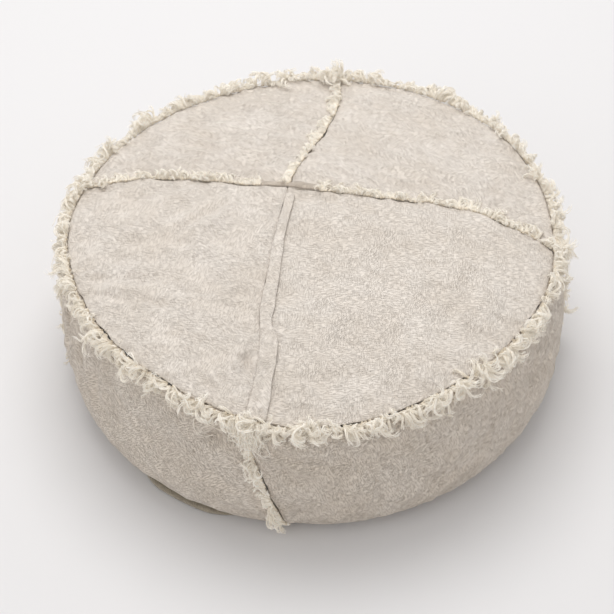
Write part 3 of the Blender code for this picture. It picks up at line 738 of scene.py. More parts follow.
def foldHeight(points):
    radius = np.hypot(points[:, 0], points[:, 1])
    azimuth = np.arctan2(points[:, 1], points[:, 0])
    below = points[:, 2] < rimHeight - 0.004
    settled = softStep((points[:, 2] - 0.012) / 0.02)
    height = wrinkles["lumps"] * noiseAt(points, 0.085)
    slanted = points @ np.array([[0.8, 0.5, 0.1], [-0.5, 0.8, 0.2], [0.3, -0.2, 0.9]]) * [1.0, 2.2, 1.0]
    height += wrinkles["soft"] * (0.5 - 2.2 * np.abs(noiseAt(slanted, 0.042, 7.0)))
    height += wrinkles["soft"] * 0.45 * noiseAt(slanted, 0.016, 3.0)
    fromRim = np.where(below, rimHeight - points[:, 2], rimRadius - radius).clip(0)
    around = np.stack([np.cos(azimuth) * 0.3, np.sin(azimuth) * 0.3, fromRim * 0.25 + below * 2.0], 1)
    height += wrinkles["gather"] * noiseAt(around, 0.011, 11.0) * np.exp(-fromRim / 0.022)
    for line, deep, wide in wrinkles["folds"]:
        path = resampled(np.array(line), 0.004)
        gap = np.linalg.norm(points[:, None] - path[None], axis=2)
        nearest = gap.argmin(1)
        share = nearest / (len(path) - 1)
        fade = np.sin(math.pi * (0.08 + 0.84 * share))
        off = gap.min(1) / wide
        crease = np.exp(-off ** 2) - 0.45 * np.exp(-(off - 1.9) ** 2)
        height -= wrinkles["foldScale"] * deep * fade * crease
    edge = softStep(np.minimum(fromRim / 0.006, 1))
    return height * settled * (0.25 + 0.75 * edge)


skinNormal = normalsOf(skinPlace, skinFaces)

edgeRoll = {
    "rows": [(0.0009, 0.0007), (0.0008, 0.0022), (0.0008, 0.0060)],  # (from the seam's middle, depth)
    "start": 0.0016,  # where the panel turns into its seam
}


def finishedPanel(patch, turn):
    ids, faces, loop = patch["ids"], patch["faces"], patch["loop"]
    place = skinPlace[ids].copy()
    own = normalsOf(place, faces)
    count = len(loop)
    seam = place[loop]
    bisector = skinNormal[ids][loop]
    along = np.roll(seam, -1, 0) - np.roll(seam, 1, 0)
    along /= np.linalg.norm(along, axis=1, keepdims=True)
    inward = np.cross(own[loop], along)
    inward /= np.linalg.norm(inward, axis=1, keepdims=True)
    flat = patch["flat"]
    flatAlong = np.roll(flat[loop], -1, 0) - np.roll(flat[loop], 1, 0)
    flatIn = np.stack([-flatAlong[:, 1], flatAlong[:, 0]], 1)
    flatIn /= np.linalg.norm(flatIn, axis=1, keepdims=True)
    if patch["kind"] != "top":
        flatIn = -flatIn
    place[loop] = seam + inward * edgeRoll["start"]
    slit = (zipper["closed"], zipper["open"] + 0.003)
    overZip = (patch["kind"] == "base") & (np.abs(seam[:, :2]) < slit).all(1)
    share = np.where(overZip, 0.15, 1.0)[:, None]
    rows, maps = [], []
    for beside, depth in edgeRoll["rows"]:
        rows.append(seam + inward * beside - bisector * depth * share)
        maps.append(flat[loop] - flatIn * (depth + edgeRoll["start"] - beside))
    points = np.vstack([place, *rows])
    grain = np.vstack([flat, *maps])
    polygons = [tuple(map(int, f)) for f in faces]
    before = [int(k) for k in loop]
    for r in range(len(rows)):
        now = [len(place) + r * count + k for k in range(count)]
        for k in range(count):
            m = (k + 1) % count
            polygons.append((before[m], before[k], now[k], now[m]))
        before = now
    mesh = bpy.data.meshes.new(patch["name"])
    mesh.from_pydata([tuple(p) for p in points], [], polygons)
    mesh.shade_smooth()
    c, s = math.cos(math.radians(turn)), math.sin(math.radians(turn))
    turned = grain @ np.array([[c, s], [-s, c]]) + turn * 0.01
    layer = mesh.uv_layers.new(name="grain")
    corner = np.empty(len(mesh.loops), np.int32)
    mesh.loops.foreach_get("vertex_index", corner)
    layer.uv.foreach_set("vector", turned[corner].astype(np.float32).ravel())
    # the side band takes the lighter copy of the cloth, painted light
    mesh.materials.append(litSideCloth if patch["kind"] == "side" else coverCloth)
    piece = bpy.data.objects.new(patch["name"] + "_cloth", mesh)
    scene.collection.objects.link(piece)
    finer = piece.modifiers.new("finer", "SUBSURF")
    finer.levels = finer.render_levels = 1
    finer.uv_smooth = "PRESERVE_BOUNDARIES"
    applied(piece)
    return wrinkled(piece)


def wrinkled(piece):
    mesh = piece.data
    place, facing = np.empty(len(mesh.vertices) * 3), np.empty(len(mesh.vertices) * 3)
    mesh.vertices.foreach_get("co", place)
    mesh.vertex_normals.foreach_get("vector", facing)
    place, facing = place.reshape(-1, 3), facing.reshape(-1, 3)
    mesh.vertices.foreach_set("co", (place + facing * foldHeight(place)[:, None]).astype(np.float32).ravel())
    mesh.update()
    return piece


def applied(piece):
    graph = bpy.context.evaluated_depsgraph_get()
    mesh = bpy.data.meshes.new_from_object(piece.evaluated_get(graph))
    piece.modifiers.clear()
    old = piece.data
    piece.data = mesh
    bpy.data.meshes.remove(old)
    return piece


panels = {}
for k, patch in enumerate(patches):
    piece = finishedPanel(patch, 17 + 71 * k)
    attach(piece, "cushion")
    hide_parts(patch["name"])
    panels[patch["name"]] = piece
print("panels sewn")


# the folded skin, to lay yarns and edges on
foldedSkin = skinPlace + skinNormal * foldHeight(skinPlace)[:, None]
skinTree = BVHTree.FromPolygons([tuple(p) for p in foldedSkin],
                                [tuple(map(int, f)) for f in skinFaces])


def clearOf(points, gap):
    # moves points that lie in the cushion out of its skin
    flat = points.reshape(-1, 3)
    for k, point in enumerate(flat):
        place, normal, _, _ = skinTree.find_nearest(point)
        inside = (Vector(point) - place).dot(normal)
        if inside < gap:
            flat[k] = point + np.array(normal) * (gap - inside)
    return flat.reshape(points.shape)


def unit(v):
    return v / np.linalg.norm(v, axis=-1, keepdims=True).clip(1e-12)


def bent(v, axis, angle):
    c, s = np.cos(angle)[:, None], np.sin(angle)[:, None]
    return v * c + np.cross(axis, v) * s + axis * (v * axis).sum(-1, keepdims=True) * (1 - c)


def wander(count, step, reach, seed):
    # smooth noise along a line, about -1 to 1
    points = np.random.default_rng(seed).normal(0, 1, int(reach / step) + 4)
    at = np.linspace(0, len(points) - 1.001, count)
    low = at.astype(int)
    share = at - low
    share = share * share * (3 - 2 * share)
    return points[low] * (1 - share) + points[low + 1] * share


def tubes(paths, radius, sides=3):
    # paths (yarns, steps, 3) and radius (yarns, steps) to points and quads
    yarns, steps = paths.shape[:2]
    ahead = np.empty_like(paths)
    ahead[:, 1:-1] = paths[:, 2:] - paths[:, :-2]
    ahead[:, 0] = paths[:, 1] - paths[:, 0]
    ahead[:, -1] = paths[:, -1] - paths[:, -2]
    ahead = unit(ahead)
    guess = np.where(np.abs(ahead[:, :1, 2:]) < 0.8, np.array([0, 0, 1.0]), np.array([1.0, 0, 0]))[:, 0]
    ring = np.empty((yarns, steps, sides, 3))
    for k in range(steps):
        across = unit(guess - ahead[:, k] * (guess * ahead[:, k]).sum(1, keepdims=True))
        guess = across
        other = np.cross(ahead[:, k], across)
        for j in range(sides):
            turn = 2 * math.pi * j / sides
            offset = across * math.cos(turn) + other * math.sin(turn)
            ring[:, k, j] = paths[:, k] + offset * radius[:, k, None]
    index = np.arange(yarns * steps * sides).reshape(yarns, steps, sides)
    a, b = index[:, :-1], index[:, 1:]
    quads = np.stack([a, np.roll(a, -1, 2), np.roll(b, -1, 2), b], -1).reshape(-1, 4)
    return ring.reshape(-1, 3), quads


def alongSeam(line, values, at):
    reach = lengthsAlong(line)
    return np.stack([np.interp(at, reach, values[:, k]) for k in range(3)], 1)


def lockPaths(line, normal, lean, look, seed):
    # locks of yarn rooted along a seam. lean is the side they lean to, look the seam's dictionary
    pick = np.random.default_rng(seed)
    whole = lengthsAlong(line)[-1]
    locks = int(whole * look["locksPerMetre"])
    at = np.sort(pick.uniform(0, whole, locks))
    share = at / whole
    up, over = unit(alongSeam(line, normal, at)), unit(alongSeam(line, lean, at))
    along = unit(np.cross(up, over))
    even = np.linspace(0, 1, 500)
    leanBy = np.interp(share, np.linspace(0, 1, len(look["lean"])), look["lean"])
    leanBy = leanBy + pick.normal(0, look["leanSpread"], locks)
    leanBy = leanBy + 18 * np.interp(share, even, wander(500, 0.017, whole, seed + 2))
    slant = pick.normal(0, look["stray"], locks)
    slant = slant + 0.6 * np.interp(share, even, wander(500, 0.009, whole, seed + 3))
    swell = 1 + look["lumps"] * np.interp(share, even, wander(500, 0.012, whole, seed + 1))
    leanBy = np.radians(leanBy)[:, None]
    ahead = unit(up * np.cos(leanBy) + over * np.sin(leanBy) + along * slant[:, None])
    length = look["length"] * swell.clip(0.5, 1.6) * pick.uniform(0.7, 1.2, locks)
    steps = look["steps"]
    across = unit(along - ahead * (along * ahead).sum(1, keepdims=True))
    roll = 1.5 * np.interp(share, even, wander(500, 0.008, whole, seed + 4)) + pick.normal(0, 0.35, locks)
    axis = across * np.cos(roll)[:, None] + np.cross(ahead, across) * np.sin(roll)[:, None]
    axis = unit(axis + ahead * pick.normal(0, 0.4, (locks, 1)))
    curl = np.radians(look["curl"] * pick.uniform(0.7, 1.25, locks)) / (steps - 1)
    centre = np.empty((locks, steps, 3))
    centre[:, 0] = alongSeam(line, line, at) + over * pick.uniform(-1, 1, (locks, 1)) * look["rootWide"]
    for k in range(steps - 1):
        centre[:, k + 1] = centre[:, k] + ahead * (length / (steps - 1))[:, None]
        grow = (k + 1) / steps
        turned = bent(ahead, axis, curl * (0.15 + 1.7 * grow))
        ahead = unit(turned + look["sag"] * grow * np.array([0, 0, -1.0]))
        axis = unit(bent(axis, ahead, np.full(locks, 0.25)))
    centre[..., 2] = centre[..., 2].clip(look["lockWide"] * 1.3)
    return wound(clearOf(centre, look["lockWide"] * 0.75), look, pick)


def wound(centre, look, pick):
    # each lock's yarns, wound round its middle line
    locks, steps = centre.shape[:2]
    yarns = look["yarns"]
    ahead = unit(np.gradient(centre, axis=1))
    side = unit(np.cross(ahead[:, 0], pick.normal(0, 1, (locks, 3))))
    across = np.empty((locks, steps, 2, 3))
    for k in range(steps):
        side = unit(side - ahead[:, k] * (side * ahead[:, k]).sum(1, keepdims=True))
        across[:, k, 0], across[:, k, 1] = side, np.cross(ahead[:, k], side)
    start = pick.uniform(0, 2 * math.pi, (locks, yarns))
    wide = look["lockWide"] * np.sqrt(pick.uniform(0.05, 1, (locks, yarns)))
    twist = pick.normal(look["twist"], 0.5, (locks, 1))
    cut = pick.uniform(0.72, 1.0, (locks, yarns))
    paths = np.empty((locks, yarns, steps, 3))
    rows = np.arange(locks)[:, None]
    for k in range(steps):
        share = k / (steps - 1)
        at = share * cut * (steps - 1)
        low = np.minimum(at.astype(int), steps - 2)
        part = (at - low)[..., None]
        middle = centre[rows, low] * (1 - part) + centre[rows, low + 1] * part
        turn = start + twist * 2 * math.pi * share
        spread = wide * (0.8 + look["splay"] * share ** 2)
        paths[:, :, k] = middle + across[rows, low, 0] * (np.cos(turn) * spread)[..., None] \
            + across[rows, low, 1] * (np.sin(turn) * spread)[..., None]
    paths = paths.reshape(-1, steps, 3)
    wobble = pick.normal(0, look["wobble"], paths.shape)
    wobble[:, 0] = 0
    return paths + wobble.cumsum(1) * 0.6


def weftPaths(line, normal, lean, look, seed):
    # yarns of the raw edge that still run along the seam
    pick = np.random.default_rng(seed + 5)
    whole = lengthsAlong(line)[-1]
    steps = int(whole / 0.0016)
    at = np.linspace(0, whole, steps)
    up, over = unit(alongSeam(line, normal, at)), unit(alongSeam(line, lean, at))
    base = alongSeam(line, line, at)
    leanBy = np.interp(at / whole, np.linspace(0, 1, len(look["lean"])), look["lean"])
    paths = []
    for k in range(look["weft"]):
        height = 0.0008 + look["weftTall"] * k / look["weft"]
        height = height + 0.0006 * wander(steps, 0.006, whole, seed + 20 + k)
        sway = 14 * wander(steps, 0.014, whole, seed + 40 + k)
        turn = np.radians(leanBy + sway + pick.normal(0, 12))[:, None]
        path = base + (up * np.cos(turn) + over * np.sin(turn)) * height[:, None]
        paths.append(path + pick.normal(0, 0.00015, path.shape))
    return clearOf(np.array(paths), look["thick"] * 0.5)


def addFringe(name, node, bundles, look, seed):
    # bundles are sets of yarn paths, each (yarns, steps, 3)
    pick = np.random.default_rng(seed + 9)
    points, quads, reaches, tones, total = [], [], [], [], 0
    for paths, rising in bundles:
        yarns, steps = paths.shape[:2]
        paths[..., 2] = paths[..., 2].clip(look["thick"] * 0.7)
        taper = np.linspace(1.0, 0.6 if rising else 1.0, steps)
        radius = look["thick"] / 2 * pick.uniform(0.75, 1.2, (yarns, 1)) * taper
        isLoose = rising and steps > fringe["steps"]  # the long loose yarns are thicker
        if isLoose:
            radius = radius * tangle["thicker"]
        made, faces = tubes(paths, radius)
        points.append(made)
        quads.append(faces + total)
        total += len(made)
        reach = np.linspace(0.4 if isLoose else 0, 1, steps) if rising else np.full(steps, 0.25)
        reaches.append(np.broadcast_to(reach[None, :, None], (yarns, steps, 3)).ravel())
        tone = pick.uniform(0, 1, yarns) ** 2
        tones.append(np.broadcast_to(tone[:, None, None], (yarns, steps, 3)).ravel())
    quads = np.vstack(quads)
    piece = addMesh(name, np.vstack(points), quads, yarn, smooth=False)
    addValues(piece, "reach", np.concatenate(reaches))
    addValues(piece, "tone", np.concatenate(tones))
    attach(piece, "cushion")
    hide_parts(node)
    print(name, len(quads) * 2, "triangles")
    return piece


def frayed(name, node, line, normal, lean, look, seed, more=()):
    bundles = [(lockPaths(line, normal, lean, look, seed), True),
               (weftPaths(line, normal, lean, look, seed), False)]
    return addFringe(name, node, bundles + list(more), look, seed)


fringe = {
    "length": 0.0260,
    "locksPerMetre": 880,
    "yarns": 9,
    "steps": 9,
    "lean": [25],  # degrees from upright, from the seam's start to its end
    "leanSpread": 17,
    "stray": 0.22,
    "lumps": 0.22,
    "curl": 310,  # degrees that a lock turns over its length
    "rootWide": 0.0014,
    "lockWide": 0.0021,
    "twist": 0.8,
    "splay": 0.5,
    "sag": 0.10,
    "wobble": 0.00014,
    "thick": 0.00090,
    "weft": 7,
    "weftTall": 0.0065,
}


def rimLine(start, end, count=200):
    turns = np.radians(np.linspace(start, end, count))
    outward = np.stack([np.cos(turns), np.sin(turns), np.zeros(count)], 1)
    place = np.stack([rimRadius * np.cos(turns), rimRadius * np.sin(turns), np.full(count, rimHeight)], 1)
    return handSewn(place), np.tile([0, 0, 1.0], (count, 1)), outward


rimLean = {  # degrees outward from upright along each quarter
    "back_right": [60, 42, 30, 25], "back_left": [25, 25, 32, 50],
    "front_left": [60, 80, 98, 100, 70], "front_right": [50, 62, 72, 85, 85, 75, 60],
}
tufts = [  # fuller where a seam of the top runs into the rim
    {"quarter": "back_left", "seam": "back", "turn": 1.0, "half": 2.6,
     "look": {"length": 0.030, "lean": [5], "locksPerMetre": 1500, "curl": 150}},
    {"quarter": "back_right", "seam": "right", "turn": 1.5, "half": 2.0,
     "look": {"length": 0.030, "lean": [88], "locksPerMetre": 1500, "curl": 130}},
    {"quarter": "front_left", "seam": "left", "turn": 2.0, "half": 3.0,
     "look": {"length": 0.026, "lean": [70], "locksPerMetre": 1100, "curl": 170}},
    {"quarter": "front_left", "seam": "front", "turn": -2.0, "half": 2.6,
     "look": {"length": 0.028, "lean": [96], "locksPerMetre": 1300, "curl": 230, "sag": 0.2}},
]

tangle = {
    "azimuth": 254.5,
    "yarns": 170,
    "spread": 2.6,  # degrees round the rim
    "drop": 0.042,
    "thick": 0.0010,
    "thicker": 1.3,
    # loose ends: azimuth, drop below the rim and distance off the cover along each
    "loose": [
        [(252.0, 0.004, 0.006), (250.5, 0.016, 0.008), (247.5, 0.020, 0.006), (244.5, 0.015, 0.007),
         (242.6, 0.022, 0.006), (243.2, 0.034, 0.004), (245.6, 0.040, 0.003), (247.2, 0.036, 0.003)],
        [(256.0, 0.006, 0.006), (257.2, 0.022, 0.010), (258.3, 0.034, 0.008), (257.6, 0.048, 0.005),
         (258.2, 0.056, 0.003)],
        [(255.5, 0.004, 0.007), (258.6, 0.016, 0.012), (260.4, 0.030, 0.009), (259.0, 0.036, 0.010),
         (257.4, 0.028, 0.012), (258.6, 0.018, 0.011)],
        [(255.0, 0.006, 0.008), (256.4, 0.024, 0.012), (258.6, 0.038, 0.010), (260.2, 0.032, 0.010),
         (259.6, 0.022, 0.012)],
        [(254.0, 0.004, 0.007), (254.8, 0.020, 0.011), (256.6, 0.034, 0.010), (257.8, 0.044, 0.007)],
        [(183.0, -0.004, 0.006), (184.6, -0.006, 0.014), (186.5, 0.001, 0.020), (187.8, 0.010, 0.019)],
        [(171.0, -0.006, 0.005), (172.4, -0.006, 0.015), (174.6, 0.000, 0.020), (173.6, 0.006, 0.020)],
        [(178.0, -0.002, 0.006), (179.0, 0.004, 0.016), (177.4, 0.012, 0.019)],
    ],
}


def offTheSide(azimuth, drop, off):
    # a point off the side band, azimuth and drop as the band is laid out
    place = handSewn(sidePoint(azimuth, drop.clip(0)))
    place[:, 2] -= drop.clip(None, 0)
    outward = np.stack([np.cos(np.radians(azimuth)), np.sin(np.radians(azimuth)), np.zeros(len(azimuth))], 1)
    return place + outward * off[:, None]


def curved(points, count):
    # a smooth line through a few points
    points = np.asarray(points, float)
    at = np.linspace(0, len(points) - 1, count)
    low = np.minimum(at.astype(int), len(points) - 2)
    t = (at - low)[:, None]
    before, after = points[np.maximum(low - 1, 0)], points[np.minimum(low + 2, len(points) - 1)]
    a, b = points[low], points[low + 1]
    return 0.5 * (2 * a + (b - before) * t + (2 * before - 5 * a + 4 * b - after) * t ** 2
                  + (3 * a - before - 3 * b + after) * t ** 3)


def hangingYarns():
    # the knot of long yarns where the front seam comes over the rim, and loose threads
    pick = np.random.default_rng(77)
    steps, paths = 28, []
    share = np.linspace(0, 1, steps)
    for k in range(tangle["yarns"]):
        azimuth = tangle["azimuth"] + pick.normal(0, tangle["spread"] * 0.5)
        reach = tangle["drop"] * pick.uniform(0.25, 1.0) ** 0.8
        bulge = pick.uniform(0.003, 0.012)
        drift = pick.normal(0.9, 1.2)
        turns = azimuth + drift * share + 0.85 * wander(steps, 0.16, 1, 400 + k) * share
        drop = reach * share ** 1.15 - 0.004 + 0.0045 * wander(steps, 0.17, 1, 700 + k) * (0.2 + share)
        off = 0.002 + bulge * np.sin(math.pi * (0.1 + 0.8 * share)) + 0.003 * wander(steps, 0.15, 1, 1000 + k)
        paths.append(offTheSide(turns, drop, off.clip(0.0008)))
    bundles = [(clearOf(np.array(paths), tangle["thick"] * 0.6), True)]
    for k, ends in enumerate(tangle["loose"]):
        line = curved(ends, 40)
        wild = 0.12 * wander(40, 0.12, 1, 60 + k)
        path = offTheSide(line[:, 0] + wild, line[:, 1] + 0.0006 * wander(40, 0.1, 1, 90 + k), line[:, 2])
        bundles.append((clearOf(path[None], tangle["thick"] * 0.6), True))
    return bundles


for k, quarter in enumerate(quarters):
    first, second = around[k], around[(k + 1) % 4]
    start, end = turnOf(topSeams[first][-1]), turnOf(topSeams[second][-1])
    end = start + (end - start) % 360
    look = dict(fringe, lean=rimLean[quarter])
    if quarter.startswith("front"):
        look.update(length=0.0325, leanSpread=30, lumps=0.26, locksPerMetre=760)
    place, upward, outward = rimLine(start, end)
    more = []
    for extra in tufts:
        if extra["quarter"] == quarter:
            middle = turnOf(topSeams[extra["seam"]][-1]) + extra["turn"]
            tuftLine = rimLine(middle - extra["half"], middle + extra["half"])
            tuftLook = dict(look, **extra["look"])
            more.append((lockPaths(*tuftLine, tuftLook, 170 + len(more) + k), True))
    if quarter == "front_left":
        more += hangingYarns()
    frayed("rim_fringe_" + quarter, "rim_fray_" + quarter, place - upward * 0.001, upward, outward, look,
           100 + k, more)

topFringe = dict(fringe, length=0.0190, locksPerMetre=950, yarns=8, lean=[50], leanSpread=16, curl=290,
                 sag=0.05, weft=5, weftTall=0.004, lockWide=0.0016)


def onTop(flat):
    return np.stack([flat[:, 0], flat[:, 1], crownAt(flat[:, 0], flat[:, 1])], 1)


def topLine(seam, start, end, count=120):
    # a top seam without its start and its end, in metres from the crossing and from the rim
    line = topSeams[seam]
    reach = lengthsAlong(line)
    at = np.linspace(start, reach[-1] - end, count)
    flat = np.stack([np.interp(at, reach, line[:, k]) for k in range(2)], 1)
    place = handSewn(onTop(flat))
    upward = np.tile([0, 0, 1.0], (count, 1))
    ahead = unit(np.gradient(place, axis=0))
    return place, upward, ahead


for seam, node, start, leftward in (("left", "cross_seam_fray_left", 0.034, -1),
                                    ("right", "cross_seam_fray_right", 0.040, 1),
                                    ("back", "back_seam_fray", 0.004, 1)):
    place, upward, ahead = topLine(seam, start, 0.004)
    beside = np.cross(upward, ahead) * leftward
    frayed(node.replace("fray", "fringe"), node, place, upward, beside, topFringe, 200 + len(node))

sideFringe = dict(fringe, length=0.0210, locksPerMetre=780, yarns=8, lean=[62], leanSpread=16, curl=280,
                  weft=5, weftTall=0.004, lockWide=0.0017)


def sideLine(seam, margin=0.006, footMargin=0.021, count=120):
    drop = np.linspace(margin, sideDrop - footMargin, count)
    place = handSewn(sidePoint(sideSeamAt(seam, drop), drop))
    nextTo = handSewn(sidePoint(sideSeamAt(seam, drop) - 0.5, drop))
    ahead = unit(np.gradient(place, axis=0))
    beside = unit(nextTo - place)
    outward = unit(np.cross(ahead, beside))
    outward *= np.sign((outward * place * [1, 1, 0]).sum(1, keepdims=True))
    return place, outward, beside


for seam in around:
    place, outward, beside = sideLine(seam)
    node = "side_seam_fray_" + seam
    frayed("side_seam_fringe_" + seam, node, place, outward, beside, sideFringe, 300 + len(seam))
print("seams frayed")


threadLook = {"colour": (0.80, 0.75, 0.66, 1), "dark": (0.55, 0.48, 0.38, 1)}


def plyMaterial(name, look, roughness=0.85, sheen=0.15):
    material, tree, shader = newMaterial(name, roughness, sheen=sheen)
    coords = addNode(tree, "TexCoord").outputs["Object"]
    mottle = addNode(tree, "TexNoise", {"Scale": 700.0, "Detail": 3.0}, {"Vector": coords})
    colour = mixColour(tree, ramp(tree, mottle.outputs["Fac"], 0.35, 0.65), look["dark"], look["colour"])
    tree.links.new(colour, shader.inputs["Base Color"])
    bump = addNode(tree, "Bump", {"Strength": 0.3, "Distance": 0.0002}, {"Height": mottle.outputs["Fac"]})
    tree.links.new(bump.outputs[0], shader.inputs["Normal"])
    return material


sewingThread = plyMaterial("sewingThread", threadLook)
stitch = {"every": 0.0042, "long": 0.0030, "thick": 0.00055, "steps": 6}


def stitchRow(name, node, line, upward, lift):
    # one short loop of thread after another, ends sunk into the cloth
    reach = lengthsAlong(line)
    count = int(reach[-1] / stitch["every"])
    starts = (np.arange(count) + 0.2) * reach[-1] / count
    share = np.linspace(0, 1, stitch["steps"])
    at = (starts[:, None] + share * stitch["long"]).ravel()
    place, up = alongSeam(line, line, at), unit(alongSeam(line, upward, at))
    arch = np.tile(lift + 0.0007 * np.sin(math.pi * share) - 0.0004, count)
    paths = (place + up * arch[:, None]).reshape(count, stitch["steps"], 3)
    points, quads = tubes(paths, np.full(paths.shape[:2], stitch["thick"] / 2), 5)
    piece = addMesh(name, points, quads, sewingThread)
    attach(piece, "cushion")
    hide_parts(node)
    return piece


def onCover(points):
    # points of the top dropped onto the cover
    made = points.copy()
    for k, point in enumerate(points):
        found = skinTree.ray_cast(Vector((point[0], point[1], 0.4)), Vector((0, 0, -1)))[0]
        if found is not None:
            made[k, 2] = found.z
    return made


for seam, name in (("back", "back_seam_thread"), ("front", "front_seam_thread")):
    place, upward, ahead = topLine(seam, 0.004, 0.004)
    lift, aside = (-0.001, 0) if seam == "back" else (0.0024, 0.0012)
    place = onCover(place + np.cross(upward, ahead) * aside)
    stitchRow(name.replace("thread", "stitches"), name, place, upward, lift)
crossLine = np.vstack([topSeams["left"][::-1], topSeams["right"][1:]])
crossLine = handSewn(onTop(resampled(crossLine, 0.004)[2:-2]))
crossUp = np.tile([0, 0, 1.0], (len(crossLine), 1))
stitchRow("cross_seam_stitches", "cross_seam_thread", crossLine, crossUp, -0.001)
rimLoop = rimLine(0, 360)
stitchRow("rim_seam_stitches", "rim_seam_thread", rimLoop[0] - rimLoop[1] * 0.0012, rimLoop[2], -0.0032)
for seam in around:
    place, outward, beside = sideLine(seam)
    stitchRow("side_seam_stitches_" + seam, "side_seam_thread_" + seam, place, outward, -0.001)


def ribbon(name, rows, grain, material):
    # rows (n, m, 3) of a closed section swept along a line, with its cloth map
    n, m = rows.shape[:2]
    index = np.arange(n * m).reshape(n, m)
    nextOne = np.roll(index, -1, 1)
    quads = np.stack([index[:-1], index[1:], nextOne[1:], nextOne[:-1]], -1).reshape(-1, 4)
    piece = addMesh(name, rows.reshape(-1, 3), quads, material)
    layer = piece.data.uv_layers.new(name="grain")
    corner = quads.ravel()
    layer.uv.foreach_set("vector", grain.reshape(-1, 2)[corner].astype(np.float32).ravel())
    return piece


strip = {
    "start": 0.014, "end": 0.001,  # from the crossing, and short of the rim
    "narrow": 0.0105, "wide": 0.0235,
    "thick": 0.0032,
    "pucker": 0.0011,
    "flare": 1.4,  # how late it widens
    "waist": (0.62, 0.05, 0.004),  # share of its length, how long, how much narrower
    "bunch": (0.60, 0.035, 0.0016),  # share of its length, how long, how high
}


def foldedStrip():
    # the front seam's allowance, folded flat to the right over the front right panel
    place, upward, ahead = topLine("front", strip["start"], strip["end"])
    over = np.cross(upward, ahead)
    over *= np.sign(over[:, :1].mean()) if over[:, 0].mean() else 1
    reach = lengthsAlong(place)
    share = reach / reach[-1]
    count = len(place)
    width = strip["narrow"] + (strip["wide"] - strip["narrow"]) * share ** strip["flare"]
    width = width + 0.0011 * wander(count, 0.03, reach[-1], 31) * (0.3 + share)
    at, long, less = strip["waist"]
    width = width - less * np.exp(-((share - at) / long) ** 2)
    at, long, high = strip["bunch"]
    section = [(-0.0014, 0.0001), (-0.0010, 0.7), (0.0, 1.0), (0.25, 0.94), (0.5, 0.82), (0.75, 0.86),
               (0.93, 1.02), (0.99, 0.88), (1.0, 0.62), (0.97, 0.42), (0.7, 0.30), (0.3, 0.05)]
    rows, grain = [], []
    for k, (v, h) in enumerate(section):
        off = width * v if v >= 0.2 else np.full(count, v)
        ripple = strip["pucker"] * wander(count, 0.014, reach[-1], 50 + k // 3) * (0.3 + 0.7 * share)
        ripple = ripple + high * np.exp(-((share - at) / long) ** 2) * (v < 0.6)
        ripple = ripple * (h > 0.3)
        on = onCover(place + over * off[:, None])
        rows.append(on + upward * (0.0004 + strip["thick"] * h + ripple.clip(-0.0006))[:, None])
        grain.append(np.stack([reach, off + (0.001 if k < 8 else -0.004)], 1))
    rows, grain = np.stack(rows, 1), np.stack(grain, 1)
    piece = ribbon("front_seam_strip", rows, grain, coverCloth)
    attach(piece, "cushion")
    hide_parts("front_seam_allowance")
    return piece


foldedStrip()

bare = {"left": 0.046, "right": 0.052, "wide": 0.0098, "thick": 0.0010, "steps": 50}


def bareAllowance():
    # the unfrayed part of the cross seam's allowance, on both sides of the crossing
    line = np.vstack([topSeams["left"][::-1], topSeams["right"][1:]])
    reach = lengthsAlong(line)
    middle = lengthsAlong(topSeams["left"])[-1]
    at = np.linspace(middle - bare["left"], middle + bare["right"], bare["steps"])
    flat = np.stack([np.interp(at, reach, line[:, k]) for k in range(2)], 1)
    place = handSewn(onTop(flat))
    upward = np.tile([0, 0, 1.0], (bare["steps"], 1))
    ahead = unit(np.gradient(place, axis=0))
    back = np.cross(upward, ahead)
    share = np.linspace(0, 1, bare["steps"])
    width = bare["wide"] * np.sin(math.pi * (0.03 + 0.94 * share)).clip(0) ** 0.6
    rows, grain = [], []
    for v, h in ((0.0, 0.2), (0.05, 1.0), (0.35, 1.25), (0.7, 1.0), (1.0, 0.7), (1.0, 0.2), (0.5, 0.1)):
        off = width * v + 0.0008
        wave = 0.0004 * wander(bare["steps"], 0.016, 0.1, 5 + int(v * 10))
        lift = 0.0002 + bare["thick"] * h + wave * (h > 0.5)
        rows.append(onCover(place + back * off[:, None]) + upward * lift[:, None])
        grain.append(np.stack([at, off + 0.3], 1))
    piece = ribbon("cross_seam_bare_edge", np.stack(rows, 1), np.stack(grain, 1), shadedCloth)
    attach(piece, "cushion")
    return piece


# painted shade: the bare allowance gets a darker copy of the cover cloth, for the shade on it
shadedAllowanceLook = dict(coverLook, pale=(0.62, 0.54, 0.45, 1), base=(0.55, 0.47, 0.39, 1))
shadedCloth = coverMaterial("shadedAllowanceCotton", shadedAllowanceLook)
bareAllowance()

lip = {
    "inner": 0.2700, "outer": 0.2815,
    "out": 0.0200, "azimuth": 237, "spread": 16,  # where it peeks out
    "thick": 0.0024, "thickOut": 0.0050,
    "steps": 481,
}
# painted shade: the base edge's cloth is much darker than the cover, for the shade at the floor under the
# bulge
shadedLipLook = dict(coverLook, pale=(0.47, 0.41, 0.32, 1), base=(0.39, 0.335, 0.255, 1),
               dark=(0.23, 0.195, 0.145, 1))
shadedLipCloth = coverMaterial("baseEdgeShadedCloth", shadedLipLook)


